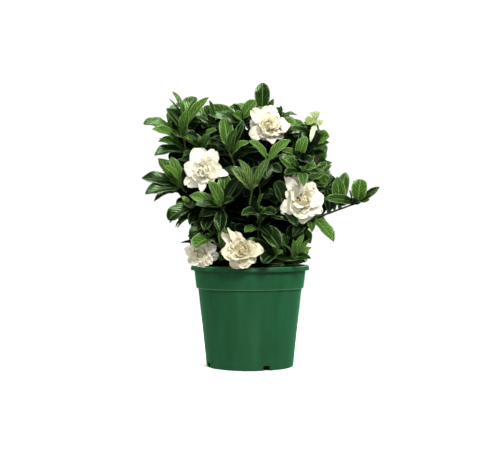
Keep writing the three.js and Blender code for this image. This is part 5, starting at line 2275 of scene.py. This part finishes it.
    def calyx(self, seat: Seat) -> None:
        """A ribbed cup on a bent stalk, with narrow sepals round its rim, and its twig.

        Args:
            seat: the flower.
        """
        facing, count = seat.facing, self.sepals
        front = seat.foot - facing * (self.core_back + self.gap)
        back = front - facing * self.calyx_length
        bend = unit(facing + UP * self.stalk_rise)
        foot = back - bend * self.stalk_length
        self.frames.twig(seat.flower.stem, foot, bend)
        t, sides = np.linspace(0, 1, 10), self.calyx_sides
        ribs = 1 + 0.09 * np.cos(count * TURN * np.arange(sides) / sides)
        wide = (1.5 + 1.6 * t**0.7)[:, None] * ribs
        cup = tube(back + (front - back) * t[:, None], wide, sides, tone=0.6)
        start, end = foot + bend * self.gap, back + facing
        control = start + (end - start) * 0.6 + bend * 1.5
        t = np.linspace(0, 1, 12)
        stalk = tube(bezier(start, control, end, t), np.full(12, self.stalk_radius), 10)
        outward = opened(facing, 360 / count * np.arange(count) + 25 * seat.key, 90)[0]
        size = np.random.default_rng(30 + seat.key).uniform(*self.sepal_size, (count, 1))
        chord = unit(outward + facing * 0.55) * size
        root = front - facing * 1.2 + outward * 2.6
        sepals = Blades.made(root, chord, -outward, np.full(count, 1.1), 0.5, seat.key)
        name, node = f"green_calyx_{seat.key + 1}", f"calyx_{seat.key + 1}"
        parts = [cup, stalk, SEPAL.surface(sepals)]
        Piece(name, parts, [CALYX_GREEN], Slot.CALYX, (node,)).place()


@dataclass(frozen=True)
class FloorFinish(Finish):
    """A plain pale floor that fades into the white surround, and throws little light back up."""

    rough: float = 0.7
    color: Color = (0.97, 0.97, 0.97, 1.0)
    dim: Color = (0.3, 0.3, 0.3, 1.0)
    dark: Color = (0.05, 0.05, 0.05, 1.0)
    clear: Span = (0.45, 1.1)

    def dress(self, g: Graph) -> None:
        """Pale as seen, dim as a source of light, dark in gloss, and clear far out, in metres.

        Args:
            g: the graph of the material's tree.
        """
        ray = g.node("LightPath")
        color = g.mix(ray["Is Glossy Ray"], self.dim, self.dark)
        x, y, _ = g.parts(g.place())
        radius = g.math("SQRT", g.scaled(x, x, g.times(y, y)))
        g.shade(
            Base_Color=g.mix(ray["Is Camera Ray"], color, self.color),
            Alpha=g.fade(radius, *self.clear),
            Specular_IOR_Level=0.1,
        )


@dataclass(frozen=True)
class Lamp:
    """A soft round lamp: its place and size in metres, its watts, and whether gloss shows it."""

    name: str
    place: Point
    size: float
    watts: float
    gleams: bool = True


LAMPS = (
    Lamp("key", (0.7, -1.6, 1.5), 0.6, 53),
    Lamp("left_front", (-1.2, -1.6, 0.6), 0.9, 10, gleams=False),
    Lamp("left_side", (-1.5, 0.8, 0.7), 0.9, 31, gleams=False),
    Lamp("right_side", (1.5, 0.6, 0.7), 0.9, 32, gleams=False),
    Lamp("back_rim", (0.5, 1.5, 1.4), 1.2, 20),
    Lamp("top", (-0.2, 0.0, 2.0), 1.0, 34),
    Lamp("front_top", (0.0, -1.3, 1.25), 0.2, 5),
    Lamp("front_low", (0.1, -1.5, 0.5), 0.14, 2.5),
)


@dataclass
class Studio:
    """The camera, the pale floor and the soft lights."""

    aim: Point = (0, 0, 0.2)
    floor_radius: float = 1200
    floor_sides: int = 64
    sky: float = 1.02
    fill: float = 0.1
    gleam: float = 0.04
    warm: Color = (1.0, 0.95, 0.84, 1.0)

    def light(self, lamp: Lamp) -> None:
        """A lamp that looks at the plant.

        Args:
            lamp: the lamp's measures.
        """
        data = bpy.data.lights.new(lamp.name, "AREA")
        data.shape, data.size, data.energy = "DISK", lamp.size, lamp.watts
        made = linked(lamp.name, data)
        made.location = lamp.place
        way = Vector(self.aim) - Vector(lamp.place)
        made.rotation_euler = way.to_track_quat("-Z", "Y").to_euler()
        made.visible_glossy = lamp.gleams

    def camera(self) -> None:
        """The camera at the photograph's distance, height and tilt."""
        data = bpy.data.cameras.new("front_view")
        data.lens, data.sensor_width = EYE.lens, EYE.sensor
        made = linked("front_view", data)
        made.location = (0, -EYE.distance * MM, EYE.height * MM)
        made.rotation_euler = (math.radians(90 + EYE.pitch), 0, 0)
        bpy.context.scene.camera = made

    def world(self) -> None:
        """A white surround, bright behind the plant and dimmer as a source of light."""
        world = bpy.data.worlds.new("studio")
        world.use_nodes = True
        bpy.context.scene.world = world
        g = Graph(world.node_tree)
        ray = g.node("LightPath")
        soft = g.scaled(ray["Is Glossy Ray"], self.gleam - self.fill, self.fill)
        seen = g.times(ray["Is Camera Ray"], g.math("SUBTRACT", self.sky, soft))
        color = g.mix(ray["Is Camera Ray"], self.warm, (1, 1, 1, 1))
        g.shade("BACKGROUND", Color=color, Strength=g.math("ADD", soft, seen))

    def floor(self) -> None:
        """A plain disc under the pot, which isn't part of the object."""
        ring = spokes(self.floor_sides) * self.floor_radius
        floor = meshed("floor", ring, [list(range(self.floor_sides))])
        floor.data.materials.append(FloorFinish("pale_floor").material())
        floor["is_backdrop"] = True

    def build(self) -> None:
        """Sets the stage."""
        self.camera()
        self.world()
        for lamp in LAMPS:
            self.light(lamp)
        self.floor()
        bpy.context.scene.view_settings.view_transform = "Standard"


def box_of(bounds: tuple) -> list[list[float]]:
    """A box's two corners as plain lists."""
    return [[float(n) for n in corner] for corner in bounds]


def main() -> None:
    """Builds every piece in order and measures how large the model was before and after."""
    logging.basicConfig(level=logging.INFO, format="%(message)s")
    Studio().build()
    pot, frames = Pot(), Frames()
    for assembly in (pot, Soil(pot), Foliage(frames), Blooms(frames), Wood(frames)):
        assembly.build()
    sizes = {"cad": box_of(CAD_BOX), "visual": box_of(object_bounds())}


if __name__ == "__main__":
    main()
